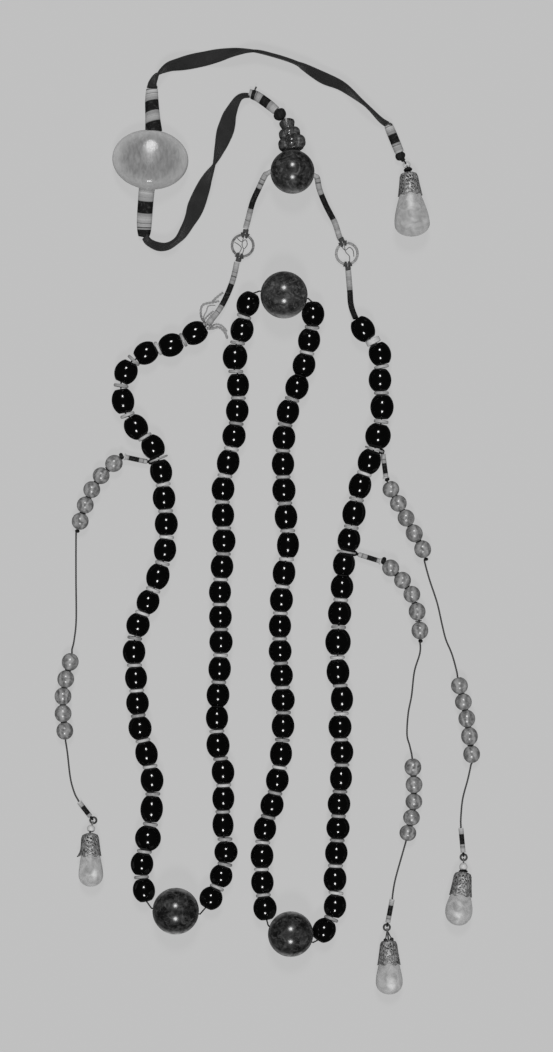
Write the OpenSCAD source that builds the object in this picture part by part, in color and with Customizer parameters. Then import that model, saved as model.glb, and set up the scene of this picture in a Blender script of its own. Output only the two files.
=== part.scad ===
// Long court necklace of glass beads, laid out flat with its ribbon, counting strings and drops.
// The surface it lies on is z = 0, and y points from the hanging ends up to the neck.

/* [Black beads] */
// Width of a black bead across its hole
bead_w = 11.4; // [10.6:0.1:11.8]
// Radius of the flat face round the hole of a black bead
bead_face_r = 2; // [1.6:0.1:2.2]
// Radius of the hole through a black bead
bead_bore_r = 0.9; // [0.8:0.1:1]
// Thickness of the main thread
thread_w = 0.8; // [0.6:0.1:0.8]

/* [Spacers] */
// Width of the pale disc between two black beads
spacer_w = 7.4; // [6:0.1:8]
// Thickness of the pale disc
spacer_t = 1.3; // [0.8:0.1:1.4]
// Radius of the hole through that disc
spacer_bore_r = 1.7; // [1.4:0.1:1.7]
// Width of the washer that a counting string is tied to
washer_w = 9.6; // [9:0.1:10]
// Thickness of that washer
washer_t = 0.9; // [0.7:0.1:1]

/* [Large beads] */
// Width of the head bead that joins the two neck cords
head_w = 22; // [20:0.5:23]
// Width of the large bead at the middle of the back
back_w = 23.5; // [21:0.5:24]
// Width of the large bead at the foot of the left loop
left_w = 23.2; // [21:0.2:24]
// Width of the large bead at the foot of the right loop
right_w = 22.6; // [21:0.2:23]
// Radius of the hole through the large beads
large_bore_r = 1.2; // [1:0.1:1.4]

/* [Counting strings] */
// Width of a counting bead
count_w = 8.4; // [7.6:0.1:8.6]
// Thickness of the bare thread of a counting string
string_w = 0.7; // [0.6:0.1:0.7]
// Width of the wound sleeves at the two ends of a counting string
sleeve_w = 2.5; // [2.2:0.1:2.8]

/* [Neck] */
// Thickness of the wound cords beside the neck
neck_cord_w = 2.9; // [2.4:0.1:3.2]
// Width of the two neck rings, over the wire
neck_ring_w = 12; // [11:0.2:13]
// Thickness of the twisted wire of a neck ring
neck_wire_w = 1.3; // [1:0.1:1.4]

/* [Plaque and ribbon] */
// Width of the flat oval bead
plaque_w = 38; // [34:1:40]
// Length of the oval bead along its hole
plaque_l = 29.8; // [28:0.2:30]
// Thickness of the oval bead
plaque_t = 14; // [12:0.5:16]
// Thickness of the woven ribbon
ribbon_t = 1; // [0.8:0.1:1.2]

/* [Drops] */
// Wall of a pierced cap
cap_wall = 0.6; // [0.5:0.1:0.8]
// Number of window columns round a cap
cap_columns = 8; // [6:1:8]
// Radius of the small ring above a drop
ring_r = 1.55; // [1.5:0.05:1.7]
// Radius of the wire of rings and eyes
wire_r = 0.3; // [0.25:0.05:0.32]

/* [Hidden] */

// Smoothness of what is turned, and the clear gap that neighbouring pieces keep
$fn = 48;
gap = 0.15;
up = [0, 0, 1];

// Beads of a strand, and how far the two beads beside a large bead ride up
beads_on_strand = 24;
last_bead = beads_on_strand - 1;
end_lift = [1.2, 0.3];
// How far outside a bead's face its thread may bend
bend_out = 0.2;
mouth_out = 0.6;
// Small steps of bead width that repeat along a strand
bead_steps = [0, 0.2, -0.2, 0.1, -0.1, 0.3, 0, -0.3];

// Where each strand passes, by columns: bead number, x, y
left_outer_rows = [
    [0, -36.5, 93.5], [1, -48.5, 87.5], [2, -61, 83.5], [3, -71, 74], [4, -72.5, 59.5],
    [5, -66, 46.5], [6, -57.5, 36.5], [8, -52, 11], [10, -51.5, -15], [12, -60, -41],
    [13, -65, -52.5], [14, -67, -66], [15, -66, -79], [17, -64, -104], [19, -58, -130],
    [21, -60, -159], [22, -63, -172], [23, -62, -185]];
left_inner_rows = [
    [0, -28.5, -189], [2, -21, -166], [3, -22.5, -152.5], [5, -22.5, -126], [6, -25, -112.5],
    [7, -25.5, -99], [8, -25, -87.5], [10, -23.5, -61], [12, -24, -36], [14, -22, -10.5],
    [16, -22.5, 15.5], [18, -17, 42], [20, -15, 67.5], [21, -16.5, 81.5], [22, -13, 95],
    [23, -10, 108]];
right_inner_rows = [
    [0, 22.5, 103], [2, 18, 77.5], [3, 14.5, 66.5], [4, 10, 54], [6, 7.5, 28], [8, 9, 1.5],
    [9, 10, -12.5], [10, 8, -26.5], [12, 6, -53], [16, 7.5, -103], [17, 6.5, -117],
    [19, 2, -142.5], [20, -1.5, -154.5], [21, -3, -168], [23, -1.5, -194]];
right_outer_rows = [
    [0, 28, -205], [1, 33.5, -193], [2, 33.5, -179.5], [4, 35, -154], [5, 35.5, -142],
    [7, 37, -116], [8, 36, -103.5], [9, 37, -89.5], [10, 35, -76], [11, 35, -61],
    [13, 37, -33.5], [14, 38, -22], [15, 40.5, -10], [17, 46, 17], [19, 55, 42],
    [20, 57, 56.5], [21, 56, 70], [22, 56, 83], [23, 47.5, 95.5]];

// Large beads by columns: x, y, width
head_bead_at = [12.2, 173.7, head_w];
back_bead_at = [8, 112.2, back_w];
left_foot_at = [-46, -195, left_w];
right_foot_at = [11.3, -206.5, right_w];

// Neck: the two rings by columns x, y, then the cords by columns number, x, y, z, half width
neck_ring_z = 1.75;
neck_ring_left_at = [-12.7, 137.5];
neck_ring_right_at = [39.5, 133.5];
cord_r = neck_cord_w / 2;
neck_left_upper_rows = [
    [0, -1.6, 171.8, 9.9, cord_r], [1, -4.6, 165.6, 8.6, cord_r], [2, -7.7, 158.8, 6.6, cord_r],
    [3, -10.1, 150, 3, cord_r]];
neck_left_lower_rows = [
    [0, -18.2, 118.5, 1.7, cord_r], [1, -23.4, 107, 3, cord_r], [2, -29.6, 99, 5.2, cord_r]];
neck_right_upper_rows = [
    [0, 24.6, 170.4, 9.9, cord_r], [1, 25.8, 164.8, 8.8, cord_r], [2, 29, 157.2, 6.5, cord_r],
    [3, 33.4, 149, 3, cord_r]];
neck_right_lower_rows = [
    [0, 41, 115, 1.7, cord_r], [1, 41.6, 107.5, 3, cord_r], [2, 43.3, 102, 5, cord_r]];

// Ribbon from the stupa to the oval bead, by columns: x, y, height of the middle that the ends need,
// width, roll from lying flat
ribbon_lower_rows = [
    [-9.6, 212.7, 2.1, 4.4, -70], [-14.6, 211.3, 2, 6.6, -62], [-19.2, 203.8, 0, 8, -38],
    [-20.5, 198, 0, 8.5, -12], [-22.3, 192.3, 0, 8.5, 22], [-24.1, 186.5, 0, 8.5, 50],
    [-26.8, 178.5, 0, 8.5, 90], [-30.9, 170, 0, 8.5, 136], [-35.3, 159.4, 0, 8.5, 175],
    [-38.6, 151, 0, 8.5, 222], [-42.3, 144, 0, 8.5, 240], [-45.8, 139.7, 0, 8.5, 256],
    [-50.3, 137, 0, 8.5, 252], [-55, 136.9, 0, 8.4, 245], [-59.4, 139, 1, 7, 243],
    [-61.6, 142, 2, 5, 222]];
// Ribbon from the oval bead to its drop, by the same columns
ribbon_upper_rows = [
    [-58.1, 216.4, 1.8, 5.4, 0], [-57.6, 219.2, 1, 5.6, 38], [-56.1, 221.8, 0, 7, 66],
    [-54.4, 223.8, 0, 8, 88], [-49.6, 226.9, 0, 8, 118], [-43, 228.6, 0, 8, 140],
    [-33, 231, 0, 7.4, 176], [-24.5, 232.8, 0, 7.6, 205], [-15.5, 234.4, 0, 8, 238],
    [-6.5, 234.7, 0, 8, 264], [3, 232.5, 0, 8, 258], [11, 230, 0, 8, 270], [18, 226.6, 0, 8, 288],
    [27.5, 221.5, 0, 7.8, 313], [37, 217.2, 0, 7.8, 300], [46.6, 209.7, 0, 8, 273],
    [51, 205.8, 0, 7.6, 270], [56.2, 200.6, 0, 6, 288], [59.6, 198.4, 2, 4.4, 300]];
ribbon_steps = 3;

// Bound ends of the ribbon, by columns: number, x, y, z, half width, half height
binding_stupa_rows = [
    [0, -8.2, 213.2, 2.2, 2.1, 2.1], [1, -5.2, 211.2, 2.5, 2.2, 2.1], [2, 3.7, 205.1, 4.2, 2.2, 2.1]];
binding_below_rows = [
    [0, -60.6, 164.9, 7, 4, 2.4], [1, -61.2, 159, 5.6, 3.9, 2.3], [2, -61.9, 150, 2.9, 3.8, 2],
    [3, -61.8, 143.6, 2, 3.6, 1.8]];
binding_above_rows = [
    [0, -57.2, 195.6, 7, 4.2, 2.4], [1, -57.7, 201.6, 5.4, 3.7, 2.2], [2, -58.2, 209.6, 2.8, 3.4, 1.9],
    [3, -58.1, 215.9, 1.8, 2.9, 1.7]];
binding_drop_rows = [
    [0, 60.1, 197.7, 2, 2, 1.8], [1, 61.6, 194, 2.2, 2.2, 2.1], [2, 64.9, 185.6, 2.5, 2.2, 2.2]];
// Dark bail below the last binding: its middle, radius and half length
bail_at = [66.2, 182.4, 2.7];
bail_r = 2.4;
bail_half = 2.1;

// Oval bead: its middle, and how far its hole leans from y
plaque_at = [-58.8, 180.1];
plaque_lean = -4.5;
plaque_bore_r = 1.5;

// Stupa: it stands at the top of the head bead, leans left of y and dips to the surface
stupa_lean = 13.5;
stupa_dip = 12;
stupa_foot_out = 0.3;
stupa_hole_lean = -3;
stupa_bore_r = 1;
// Tiers by columns: place down the length, radius of the core, lobes' ring radius, lobe radius
stupa_tiers = [[3.6, 4.6, 3.6, 3.2], [8.8, 3.8, 2.7, 2.6]];
stupa_lobes = 6;
// Flared top by columns: radius, place down the length
stupa_top = [[3, 10.6], [2.9, 12], [3.4, 13.6], [3.8, 15.6], [3.3, 16.8]];
stupa_slot = [1.7, 12.6];
stem_r = 0.45;
// Knot between stupa and binding: its middle, radius and half length
knot_at = [6, 202.9, 4.6];
knot_r = 2.9;
knot_half = 2.6;

// Counting strings by columns: strand, join on it, far end of the upper sleeve x, y, z,
// near end of the lower sleeve x, y, z, number of the drop
string_table = [
    [0, 6, -71.8, 31.6, 3.6, -94.6, -141.4, 1.4, 1],
    [3, 14, 56.4, -20.7, 3.6, 62.2, -190.3, 1.4, 2],
    [3, 18, 59.1, 21, 3.6, 96.7, -154.6, 1.4, 3]];
// Rows of the five upper and the five lower beads of each counting string: bead number, x, y
count_last = 4;
count_rows = [
    [[[0, -77.1, 28.3], [1, -83.5, 22.2], [4, -94, -0.6]],
        [[0, -99, -71], [2, -102.6, -88.2], [4, -101.7, -105.5]]],
    [[[0, 61.4, -24], [2, 72, -37.2], [4, 76, -55.3]],
        [[0, 72.5, -123.7], [2, 73, -140.9], [4, 70, -156.6]]],
    [[[0, 61.5, 15.4], [2, 69.1, 1], [4, 77.4, -14.6]],
        [[0, 95.8, -82.9], [2, 99.5, -99.4], [4, 101.9, -117.2]]]];
// Bare thread between and below the groups of beads: x, y, z
lie = string_w / 2 + 0.05;
bare_between = [
    [[-96.1, -6, 2.4], [-96.3, -12.5, lie], [-96.3, -30, lie], [-96.2, -50, lie], [-97.2, -60, lie],
        [-98.2, -64.6, 2.6]],
    [[76, -60.6, 2.4], [76.2, -66.5, lie], [73.4, -76, lie], [72, -88, lie], [70.3, -97, lie],
        [69.7, -107.5, lie], [71, -113, lie], [72, -117.4, 2.6]],
    [[78.3, -20.4, 2.6], [81, -30, lie], [84.8, -41.5, lie], [87.3, -52.5, lie], [89.2, -60, lie],
        [92.3, -67.5, lie], [94.7, -76.6, 2.6]]];
bare_below = [
    [[-101.4, -110.6, 2.8], [-100.5, -117.5, lie], [-99, -130, lie], [-96.6, -138, 0.8]],
    [[69, -161.4, 2.8], [67.5, -167, lie], [64, -179.5, lie], [62.6, -187, 0.8]],
    [[101.7, -122.4, 2.8], [100.2, -130, lie], [97.6, -140, lie], [96.6, -151, 0.8]]];
knot_swell = 0.75;

// Drops by columns: ring x, y, z, cap top x, y, foot x, y, cap length, shoulder radius,
// mouth radius, stone radius, distance of the widest place from the cap top, bead on the post
drop_table = [
    [69.4, 177.9, 3.6, 70.3, 174.2, 72.4, 141.5, 11.7, 4.6, 5.9, 8.8, 26.7, 0],
    [-87.5, -150.4, 2.6, -89.1, -156.5, -88.4, -183.3, 11, 4.4, 5.2, 6.1, 21, 3],
    [59.5, -204, 2.6, 60.3, -209.9, 60.7, -237.2, 12, 4.3, 5.6, 6.7, 21.2, 0],
    [98, -168.9, 2.6, 97.7, -175.8, 94.5, -202.7, 11.7, 4.5, 5.5, 6.8, 19.8, 3.6]];
eye_r = 0.9;
cap_window_rows = 3;

function unit(v) = v / norm(v);
function middle(a, b) = (a + b) / 2;

// Smooth line through rows whose first column is the position along it
function slope(rows, k) = (rows[k + 1] - rows[k]) / (rows[k + 1][0] - rows[k][0]);
function bend(rows, k) =
    k == 0 ? (len(rows) == 2 ? slope(rows, 0) : 1.5 * slope(rows, 0) - 0.5 * bend(rows, 1))
    : k == len(rows) - 1 ? 1.5 * slope(rows, k - 1) - 0.5 * bend(rows, k - 1)
    : let (before = rows[k][0] - rows[k - 1][0], after = rows[k + 1][0] - rows[k][0])
        (slope(rows, k) * before + slope(rows, k - 1) * after) / (before + after);
function span(rows, u, k = 0) = k < len(rows) - 2 && u > rows[k + 1][0] ? span(rows, u, k + 1) : k;
function along(rows, u) =
    let (k = span(rows, u), h = rows[k + 1][0] - rows[k][0], t = (u - rows[k][0]) / h)
    (2 * t ^ 3 - 3 * t ^ 2 + 1) * rows[k] + (t ^ 3 - 2 * t ^ 2 + t) * h * bend(rows, k)
    + (3 * t ^ 2 - 2 * t ^ 3) * rows[k + 1] + (t ^ 3 - t ^ 2) * h * bend(rows, k + 1);
function numbered(rows) = [for (k = [0 : len(rows) - 1]) concat([k], rows[k])];

// Large beads: middle, and the direction of the hole between its two neighbours
function ball_middle(at) = [at[0], at[1], at[2] / 2];
function hole_along(from, to) = unit([to[1] - from[1], to[2] - from[2], 0]);
head_hole = unit([22.4, -2.7, 0]);
back_hole = hole_along(left_inner_rows[len(left_inner_rows) - 1], right_inner_rows[0]);
left_hole = hole_along(left_outer_rows[len(left_outer_rows) - 1], left_inner_rows[0]);
right_hole = hole_along(right_inner_rows[len(right_inner_rows) - 1], right_outer_rows[0]);
function mouth(at, hole, side) = ball_middle(at) + side * (at[2] / 2 + mouth_out) * hole;
function hole_middle(at, hole, side) = ball_middle(at) + side * 2 * gap * hole;

// Strands by columns: rows, points where the thread comes from, points where it goes,
// joins with no spacer, wide beads as number and width, joins with a thick spacer
ROWS = 0;
FROM = 1;
TO = 2;
BARE = 3;
WIDE = 4;
THICK = 5;
strands = [
    [left_outer_rows, [[-30.8, 98, 5.3]],
        [mouth(left_foot_at, left_hole, -1), hole_middle(left_foot_at, left_hole, -1)],
        [], [[21, 13]], []],
    [left_inner_rows, [hole_middle(left_foot_at, left_hole, 1), mouth(left_foot_at, left_hole, 1)],
        [mouth(back_bead_at, back_hole, -1), hole_middle(back_bead_at, back_hole, -1)],
        [7], [[3, 10.6], [21, 12.4]], []],
    [right_inner_rows, [hole_middle(back_bead_at, back_hole, 1), mouth(back_bead_at, back_hole, 1)],
        [mouth(right_foot_at, right_hole, -1), hole_middle(right_foot_at, right_hole, -1)],
        [2], [], []],
    [right_outer_rows, [hole_middle(right_foot_at, right_hole, 1), mouth(right_foot_at, right_hole, 1)],
        [[43.7, 101, 5.3]],
        [13], [[11, 12.8], [19, 12.8]], [22]]];

// Beads of a strand
function wide_bead(s, i) = [for (row = strands[s][WIDE]) if (row[0] == i) row[1]];
function bead_r(s, i) =
    len(wide_bead(s, i)) > 0 ? wide_bead(s, i)[0] / 2
    : (bead_w + bead_steps[(i + 3 * s) % len(bead_steps)]) / 2;
function lift(s, i) =
    len(strands[s][FROM]) > 1 && i < 2 ? end_lift[i]
    : len(strands[s][TO]) > 1 && i > last_bead - 2 ? end_lift[last_bead - i] : 0;
middles = [for (s = [0 : 3]) [for (i = [0 : last_bead])
    let (p = along(strands[s][ROWS], i)) [p[1], p[2], bead_r(s, i) + lift(s, i)]]];
function came_from(s) = strands[s][FROM][len(strands[s][FROM]) - 1];
function bead_axis(s, i) = unit(
    (i == last_bead ? strands[s][TO][0] : middles[s][i + 1])
    - (i == 0 ? came_from(s) : middles[s][i - 1]));
function turn(a, b) = acos(min(1, a * b));
function has_washer(s, i) = len([for (row = string_table) if (row[0] == s && row[1] == i) i]) > 0;
function has_spacer(s, i) = !has_washer(s, i) && len(search(i, strands[s][BARE])) == 0;
function disc_t(s, i) = len(search(i, strands[s][THICK])) > 0 ? 2 * spacer_t : spacer_t;
function join_gap(s, i) =
    (has_washer(s, i) ? washer_t : has_spacer(s, i) ? disc_t(s, i) : 0) + 2 * gap
    + 2 * bead_face_r * sin(turn(bead_axis(s, i), bead_axis(s, i + 1)) / 2);
function join_room(s, i) = norm(middles[s][i + 1] - middles[s][i]) - join_gap(s, i);
function bead_half(s, i) =
    min(i == 0 ? 99 : join_room(s, i - 1), i == last_bead ? 99 : join_room(s, i)) / 2;
halves = [for (s = [0 : 3]) [for (i = [0 : last_bead]) bead_half(s, i)]];
axes = [for (s = [0 : 3]) [for (i = [0 : last_bead]) bead_axis(s, i)]];
function face(s, i, side, out) = middles[s][i] + side * (halves[s][i] + out) * axes[s][i];
function join_middle(s, i) = middle(face(s, i, 1, 0), face(s, i + 1, -1, 0));
function join_axis(s, i) = unit(axes[s][i] + axes[s][i + 1]);

// Counting strings: washer, its direction to the string, and the eye of the upper sleeve
function washer_at(n) = join_middle(string_table[n][0], string_table[n][1]);
function washer_axis(n) = join_axis(string_table[n][0], string_table[n][1]);
function sleeve_far(n) = [string_table[n][2], string_table[n][3], string_table[n][4]];
function across(v, axis) = unit(v - (v * axis) * axis);
string_droop = 25;
function string_way(n) = let (d = sleeve_far(n) - washer_at(n))
    across([d.x, d.y, -tan(string_droop) * norm([d.x, d.y])], washer_axis(n));
sleeve_eye_r = 0.95;
washer_eye_out = washer_w / 2 - 0.25;
washer_hole_out = washer_eye_out - sleeve_eye_r + 0.05;
washer_eye_hole_r = 0.6;
sleeve_neck = 1.3;
function sleeve_eye(n) = washer_at(n) + washer_eye_out * string_way(n);
function sleeve_neck_at(n) = sleeve_eye(n) + sleeve_eye_r * string_way(n);
function sleeve_near(n) =
    sleeve_neck_at(n) + sleeve_neck * unit(sleeve_far(n) - sleeve_neck_at(n));
sleeve_r = sleeve_w / 2;
sleeve_bore_r = string_w / 2 + 0.2;

// Counting beads
function count_middles(n, g) = [for (i = [0 : count_last])
    let (p = along(count_rows[n][g], i)) [p[1], p[2], count_w / 2 + 0.05]];
count_at = [for (n = [0 : 2]) [for (g = [0 : 1]) count_middles(n, g)]];
function count_before(n, g) = g == 0 ? sleeve_far(n) : bare_between[n][len(bare_between[n]) - 1];
function count_after(n, g) = g == 0 ? bare_between[n][0] : bare_below[n][0];
function count_axis(n, g, i) = unit(
    (i == count_last ? count_after(n, g) : count_at[n][g][i + 1])
    - (i == 0 ? count_before(n, g) : count_at[n][g][i - 1]));
count_face_r = 1.4;
count_bore_r = 1;
function count_room(n, g, i) = norm(count_at[n][g][i + 1] - count_at[n][g][i]) - gap
    - 2 * count_face_r * sin(turn(count_axis(n, g, i), count_axis(n, g, i + 1)) / 2);
function count_half(n, g, i) = min(i == 0 ? count_w : count_room(n, g, i - 1),
    i == count_last ? count_w : count_room(n, g, i)) / 2;
function count_face(n, g, i, side) =
    count_at[n][g][i] + side * (count_half(n, g, i) + gap / 2) * count_axis(n, g, i);

// Drops: ring, cap top, direction of the axis, and the lower end of the sleeve above
function ring_at(d) = [drop_table[d][0], drop_table[d][1], drop_table[d][2]];
function cap_l(d) = drop_table[d][7];
function shoulder_r(d) = drop_table[d][8];
function mouth_r(d) = drop_table[d][9];
function stone_r(d) = drop_table[d][10];
function widest_at(d) = drop_table[d][11];
function post_bead_l(d) = drop_table[d][12];
function cap_top(d) = [drop_table[d][3], drop_table[d][4], shoulder_r(d) + 0.1];
function drop_l(d) =
    norm([drop_table[d][5] - drop_table[d][3], drop_table[d][6] - drop_table[d][4]]);
function drop_axis(d) = unit([drop_table[d][5] - drop_table[d][3],
    drop_table[d][6] - drop_table[d][4], (stone_r(d) - shoulder_r(d)) * drop_l(d) / widest_at(d)]);
function ring_normal(d) =
    let (way = unit(cap_top(d) - ring_at(d)), side = unit(cross(way, up))) cross(side, way);
function eye_way(d, from) = across(from - ring_at(d), ring_normal(d));
function eye_at(d, from) = ring_at(d) + ring_r * eye_way(d, from);
function eye_end(d, from) = ring_at(d) + (ring_r + eye_r) * eye_way(d, from);
function drop_of(n) = string_table[n][8];
function lower_near(n) = [string_table[n][5], string_table[n][6], string_table[n][7]];

// Outlines for swept solids
function round_outline(n) = [for (j = [0 : n - 1]) [cos(360 * j / n), sin(360 * j / n)]];
flat_outline = [
    [1, -0.4], [1, 0.4], [0.94, 1], [-0.94, 1], [-1, 0.4], [-1, -0.4], [-0.94, -1], [0.94, -1]];

// Sections of a swept solid by columns: x, y, z, half width, half height, roll
function place(section) = [section[0], section[1], section[2]];
function heading(s, k) =
    k == 0 ? unit(place(s[1]) - place(s[0]))
    : k == len(s) - 1 ? unit(place(s[k]) - place(s[k - 1]))
    : unit(unit(place(s[k + 1]) - place(s[k])) + unit(place(s[k]) - place(s[k - 1])));
function section_ring(s, k, outline) =
    let (h = heading(s, k), side = unit(cross(h, up)), top = cross(side, h), roll = s[k][5],
        a = side * cos(roll) + top * sin(roll), b = top * cos(roll) - side * sin(roll))
    [for (q = outline) place(s[k]) + q.x * s[k][3] * a + q.y * s[k][4] * b];
module sweep(s, outline) {
    n = len(outline);
    last = len(s) - 1;
    points = [for (k = [0 : last]) each section_ring(s, k, outline)];
    sides = [for (k = [0 : last - 1]) for (j = [0 : n - 1])
        let (a = k * n + j, b = k * n + (j + 1) % n, c = a + n, d = b + n)
        each [[a, b, c], [b, d, c]]];
    ends = [[for (j = [n - 1 : -1 : 0]) j], [for (j = [0 : n - 1]) last * n + j]];
    polyhedron(points, concat(sides, ends));
}
function thread_section(p, r) = [p.x, p.y, p.z, r, r, 0];
function swollen(p, way, r) = [for (q = [[-1.1, 0.4], [0, 1], [1.1, 0.4]])
    thread_section(p + q[0] * knot_swell * way, q[1] * r)];

module point_along(axis) { rotate([0, acos(axis.z), atan2(axis.y, axis.x)]) children(); }
module rod(from, to, r) {
    translate(from) point_along(unit(to - from)) cylinder(r = r, h = norm(to - from));
}
module torus(major, minor) { rotate_extrude() translate([major, 0]) circle(minor); }

// A bead with a hole: an oval whose ends are cut flat, as wide there as the flat faces
module turned_bead(at, axis, r, half, face_r, bore_r) {
    oval = half / (r * sqrt(1 - (face_r / r) ^ 2));
    translate(at) point_along(axis) difference() {
        intersection() {
            scale([1, 1, oval]) sphere(r, $fn = 96);
            cylinder(r = 2 * r, h = 2 * half, center = true);
        }
        if (bore_r > 0) cylinder(r = bore_r, h = 3 * half, center = true);
    }
}

module strand_beads(s) {
    for (i = [0 : last_bead])
        turned_bead(middles[s][i], axes[s][i], bead_r(s, i), halves[s][i], bead_face_r, bead_bore_r);
}
module beads_left_outer() { color("#141414") strand_beads(0); }
module beads_left_inner() { color("#141414") strand_beads(1); }
module beads_right_inner() { color("#141414") strand_beads(2); }
module beads_right_outer() { color("#141414") strand_beads(3); }

module disc(at, axis, w, t, bore_r) {
    translate(at) point_along(axis) difference() {
        cylinder(d = w, h = t, center = true);
        cylinder(r = bore_r, h = 3 * t, center = true);
    }
}
module strand_spacers(s) {
    for (i = [0 : last_bead - 1]) if (has_spacer(s, i))
        disc(join_middle(s, i), join_axis(s, i), spacer_w, disc_t(s, i), spacer_bore_r);
}
module spacers_left_outer() { color("#c8c8c8") strand_spacers(0); }
module spacers_left_inner() { color("#c8c8c8") strand_spacers(1); }
module spacers_right_inner() { color("#c8c8c8") strand_spacers(2); }
module spacers_right_outer() { color("#c8c8c8") strand_spacers(3); }

module strand_thread(s) {
    bead_points = [for (i = [0 : last_bead]) each [
        face(s, i, -1, i == 0 ? 2 * bend_out : bend_out),
        face(s, i, 1, i == last_bead ? 2 * bend_out : bend_out)]];
    points = concat(strands[s][FROM], bead_points, strands[s][TO]);
    sweep([for (p = points) thread_section(p, thread_w / 2)], round_outline(6));
}
module thread_left_outer() { color("#c0c0c0") strand_thread(0); }
module thread_left_inner() { color("#c0c0c0") strand_thread(1); }
module thread_right_inner() { color("#c0c0c0") strand_thread(2); }
module thread_right_outer() { color("#c0c0c0") strand_thread(3); }

// Large round beads
module large_bead(at, hole) {
    translate(ball_middle(at)) difference() {
        sphere(d = at[2], $fn = 96);
        point_along(hole) cylinder(r = large_bore_r, h = 2 * at[2], center = true);
    }
}
function dipped(lean) = [-sin(lean) * cos(stupa_dip), cos(lean) * cos(stupa_dip), -sin(stupa_dip)];
stupa_way = dipped(stupa_lean);
stupa_hole = dipped(stupa_hole_lean);
stupa_foot = ball_middle(head_bead_at) + (head_w / 2 + stupa_foot_out) * stupa_hole;
module head_bead() {
    color("#3c3c3c") difference() {
        large_bead(head_bead_at, head_hole);
        rod(ball_middle(head_bead_at), ball_middle(head_bead_at) + head_w * stupa_hole, stupa_bore_r);
    }
}
module back_bead() { color("#5a5a5a") large_bead(back_bead_at, back_hole); }
module left_foot_bead() { color("#4a4a4a") large_bead(left_foot_at, left_hole); }
module right_foot_bead() { color("#4a4a4a") large_bead(right_foot_at, right_hole); }

// Stupa: two lobed tiers and a flared top that is slotted for the cord
stupa_l = stupa_top[len(stupa_top) - 1].y;
module stupa_body() {
    cylinder(r = stupa_tiers[0][1], h = stupa_tiers[0][0]);
    for (tier = stupa_tiers) translate([0, 0, tier[0]]) {
        sphere(tier[1]);
        for (j = [0 : stupa_lobes - 1]) rotate([0, 0, j * 360 / stupa_lobes])
            translate([tier[2], 0, 0]) sphere(tier[3]);
    }
    top_from = stupa_tiers[1][0];
    rotate_extrude()
        polygon(concat([[0, top_from], [stupa_top[0].x, top_from]], stupa_top, [[0, stupa_l]]));
}
// The seats of the head bead and the knot are hollowed out of it
module stupa() {
    color("#464646") difference() {
        translate(stupa_foot) point_along(stupa_way) difference() {
            stupa_body();
            cylinder(r = stupa_bore_r, h = 60, center = true);
            translate([-10, -stupa_slot[0] / 2, stupa_slot[1]]) cube([20, stupa_slot[0], 10]);
        }
        translate(ball_middle(head_bead_at)) sphere(d = head_w + 2 * gap, $fn = 96);
        translate(knot_at) sphere(knot_r + gap);
    }
}
stupa_end = stupa_foot + (stupa_l - 0.4) * stupa_way;
binding_near = [binding_stupa_rows[2][1], binding_stupa_rows[2][2], binding_stupa_rows[2][3]];
knot_way = unit(binding_near - knot_at);
module stupa_knot() {
    color("#1e1e1e") turned_bead(knot_at, knot_way, knot_r, knot_half, 1.3, stupa_bore_r);
}

// Bound ends of the ribbon: the one at the stupa has a stem that runs down into the head bead
module binding(rows, stem) {
    last = len(rows) - 1;
    wound = [for (u = [0 : 0.25 : last]) let (p = along(rows, u)) [p[1], p[2], p[3], p[4], p[5], 0]];
    color("#b0b0b0")
        sweep(concat(wound, [for (p = stem) thread_section(p, stem_r)]), round_outline(12));
}
module binding_stupa() {
    stem = [binding_near - 0.1 * knot_way, knot_at - 0.5 * knot_half * knot_way, stupa_end,
        stupa_foot, ball_middle(head_bead_at) + 2 * stupa_hole];
    binding(binding_stupa_rows, stem);
}
module binding_plaque_below() { binding(binding_below_rows, []); }
module binding_plaque_above() { binding(binding_above_rows, []); }
bail_way = unit(eye_end(0, bail_at) - bail_at);
bail_top = bail_at - (bail_half + gap) * bail_way;
module binding_drop() {
    stem = [bail_top - 0.1 * bail_way, bail_top, bail_at + 0.5 * bail_way];
    binding(binding_drop_rows, stem);
}
module ribbon_drop_bail() {
    color("#1e1e1e") difference() {
        union() {
            turned_bead(bail_at, bail_way, bail_r, bail_half, 1.3, 0);
            rod(bail_at, eye_end(0, bail_at) + 0.15 * bail_way, 0.8);
            drop_eye(0, bail_at);
        }
        rod(bail_at - 2 * bail_half * bail_way, bail_at + bail_way, stem_r + gap);
    }
}

// Flat oval bead
module plaque_bead() {
    color("#969696") translate([plaque_at.x, plaque_at.y, plaque_t / 2]) rotate([0, 0, plaque_lean])
        difference() {
            scale([plaque_w / 2, plaque_l / 2, plaque_t / 2]) sphere(1, $fn = 96);
            rotate([90, 0, 0]) cylinder(r = plaque_bore_r, h = 2 * plaque_l, center = true);
        }
}

// Ribbons lie on one edge or face, so the middle is as high as the rolled section needs
function ribbon_section(row) =
    let (w = row[4], roll = row[5],
        rest = (w * abs(sin(roll)) + ribbon_t * abs(cos(roll))) / 2 + 0.1)
    [row[1], row[2], max(rest, row[3]), w / 2, ribbon_t / 2, roll];
module ribbon(rows) {
    last = ribbon_steps * (len(rows) - 1);
    sweep([for (k = [0 : last]) ribbon_section(along(numbered(rows), k / ribbon_steps))],
        flat_outline);
}
module ribbon_lower() { color("#2c2c2c") ribbon(ribbon_lower_rows); }
module ribbon_upper() { color("#2c2c2c") ribbon(ribbon_upper_rows); }

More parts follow.
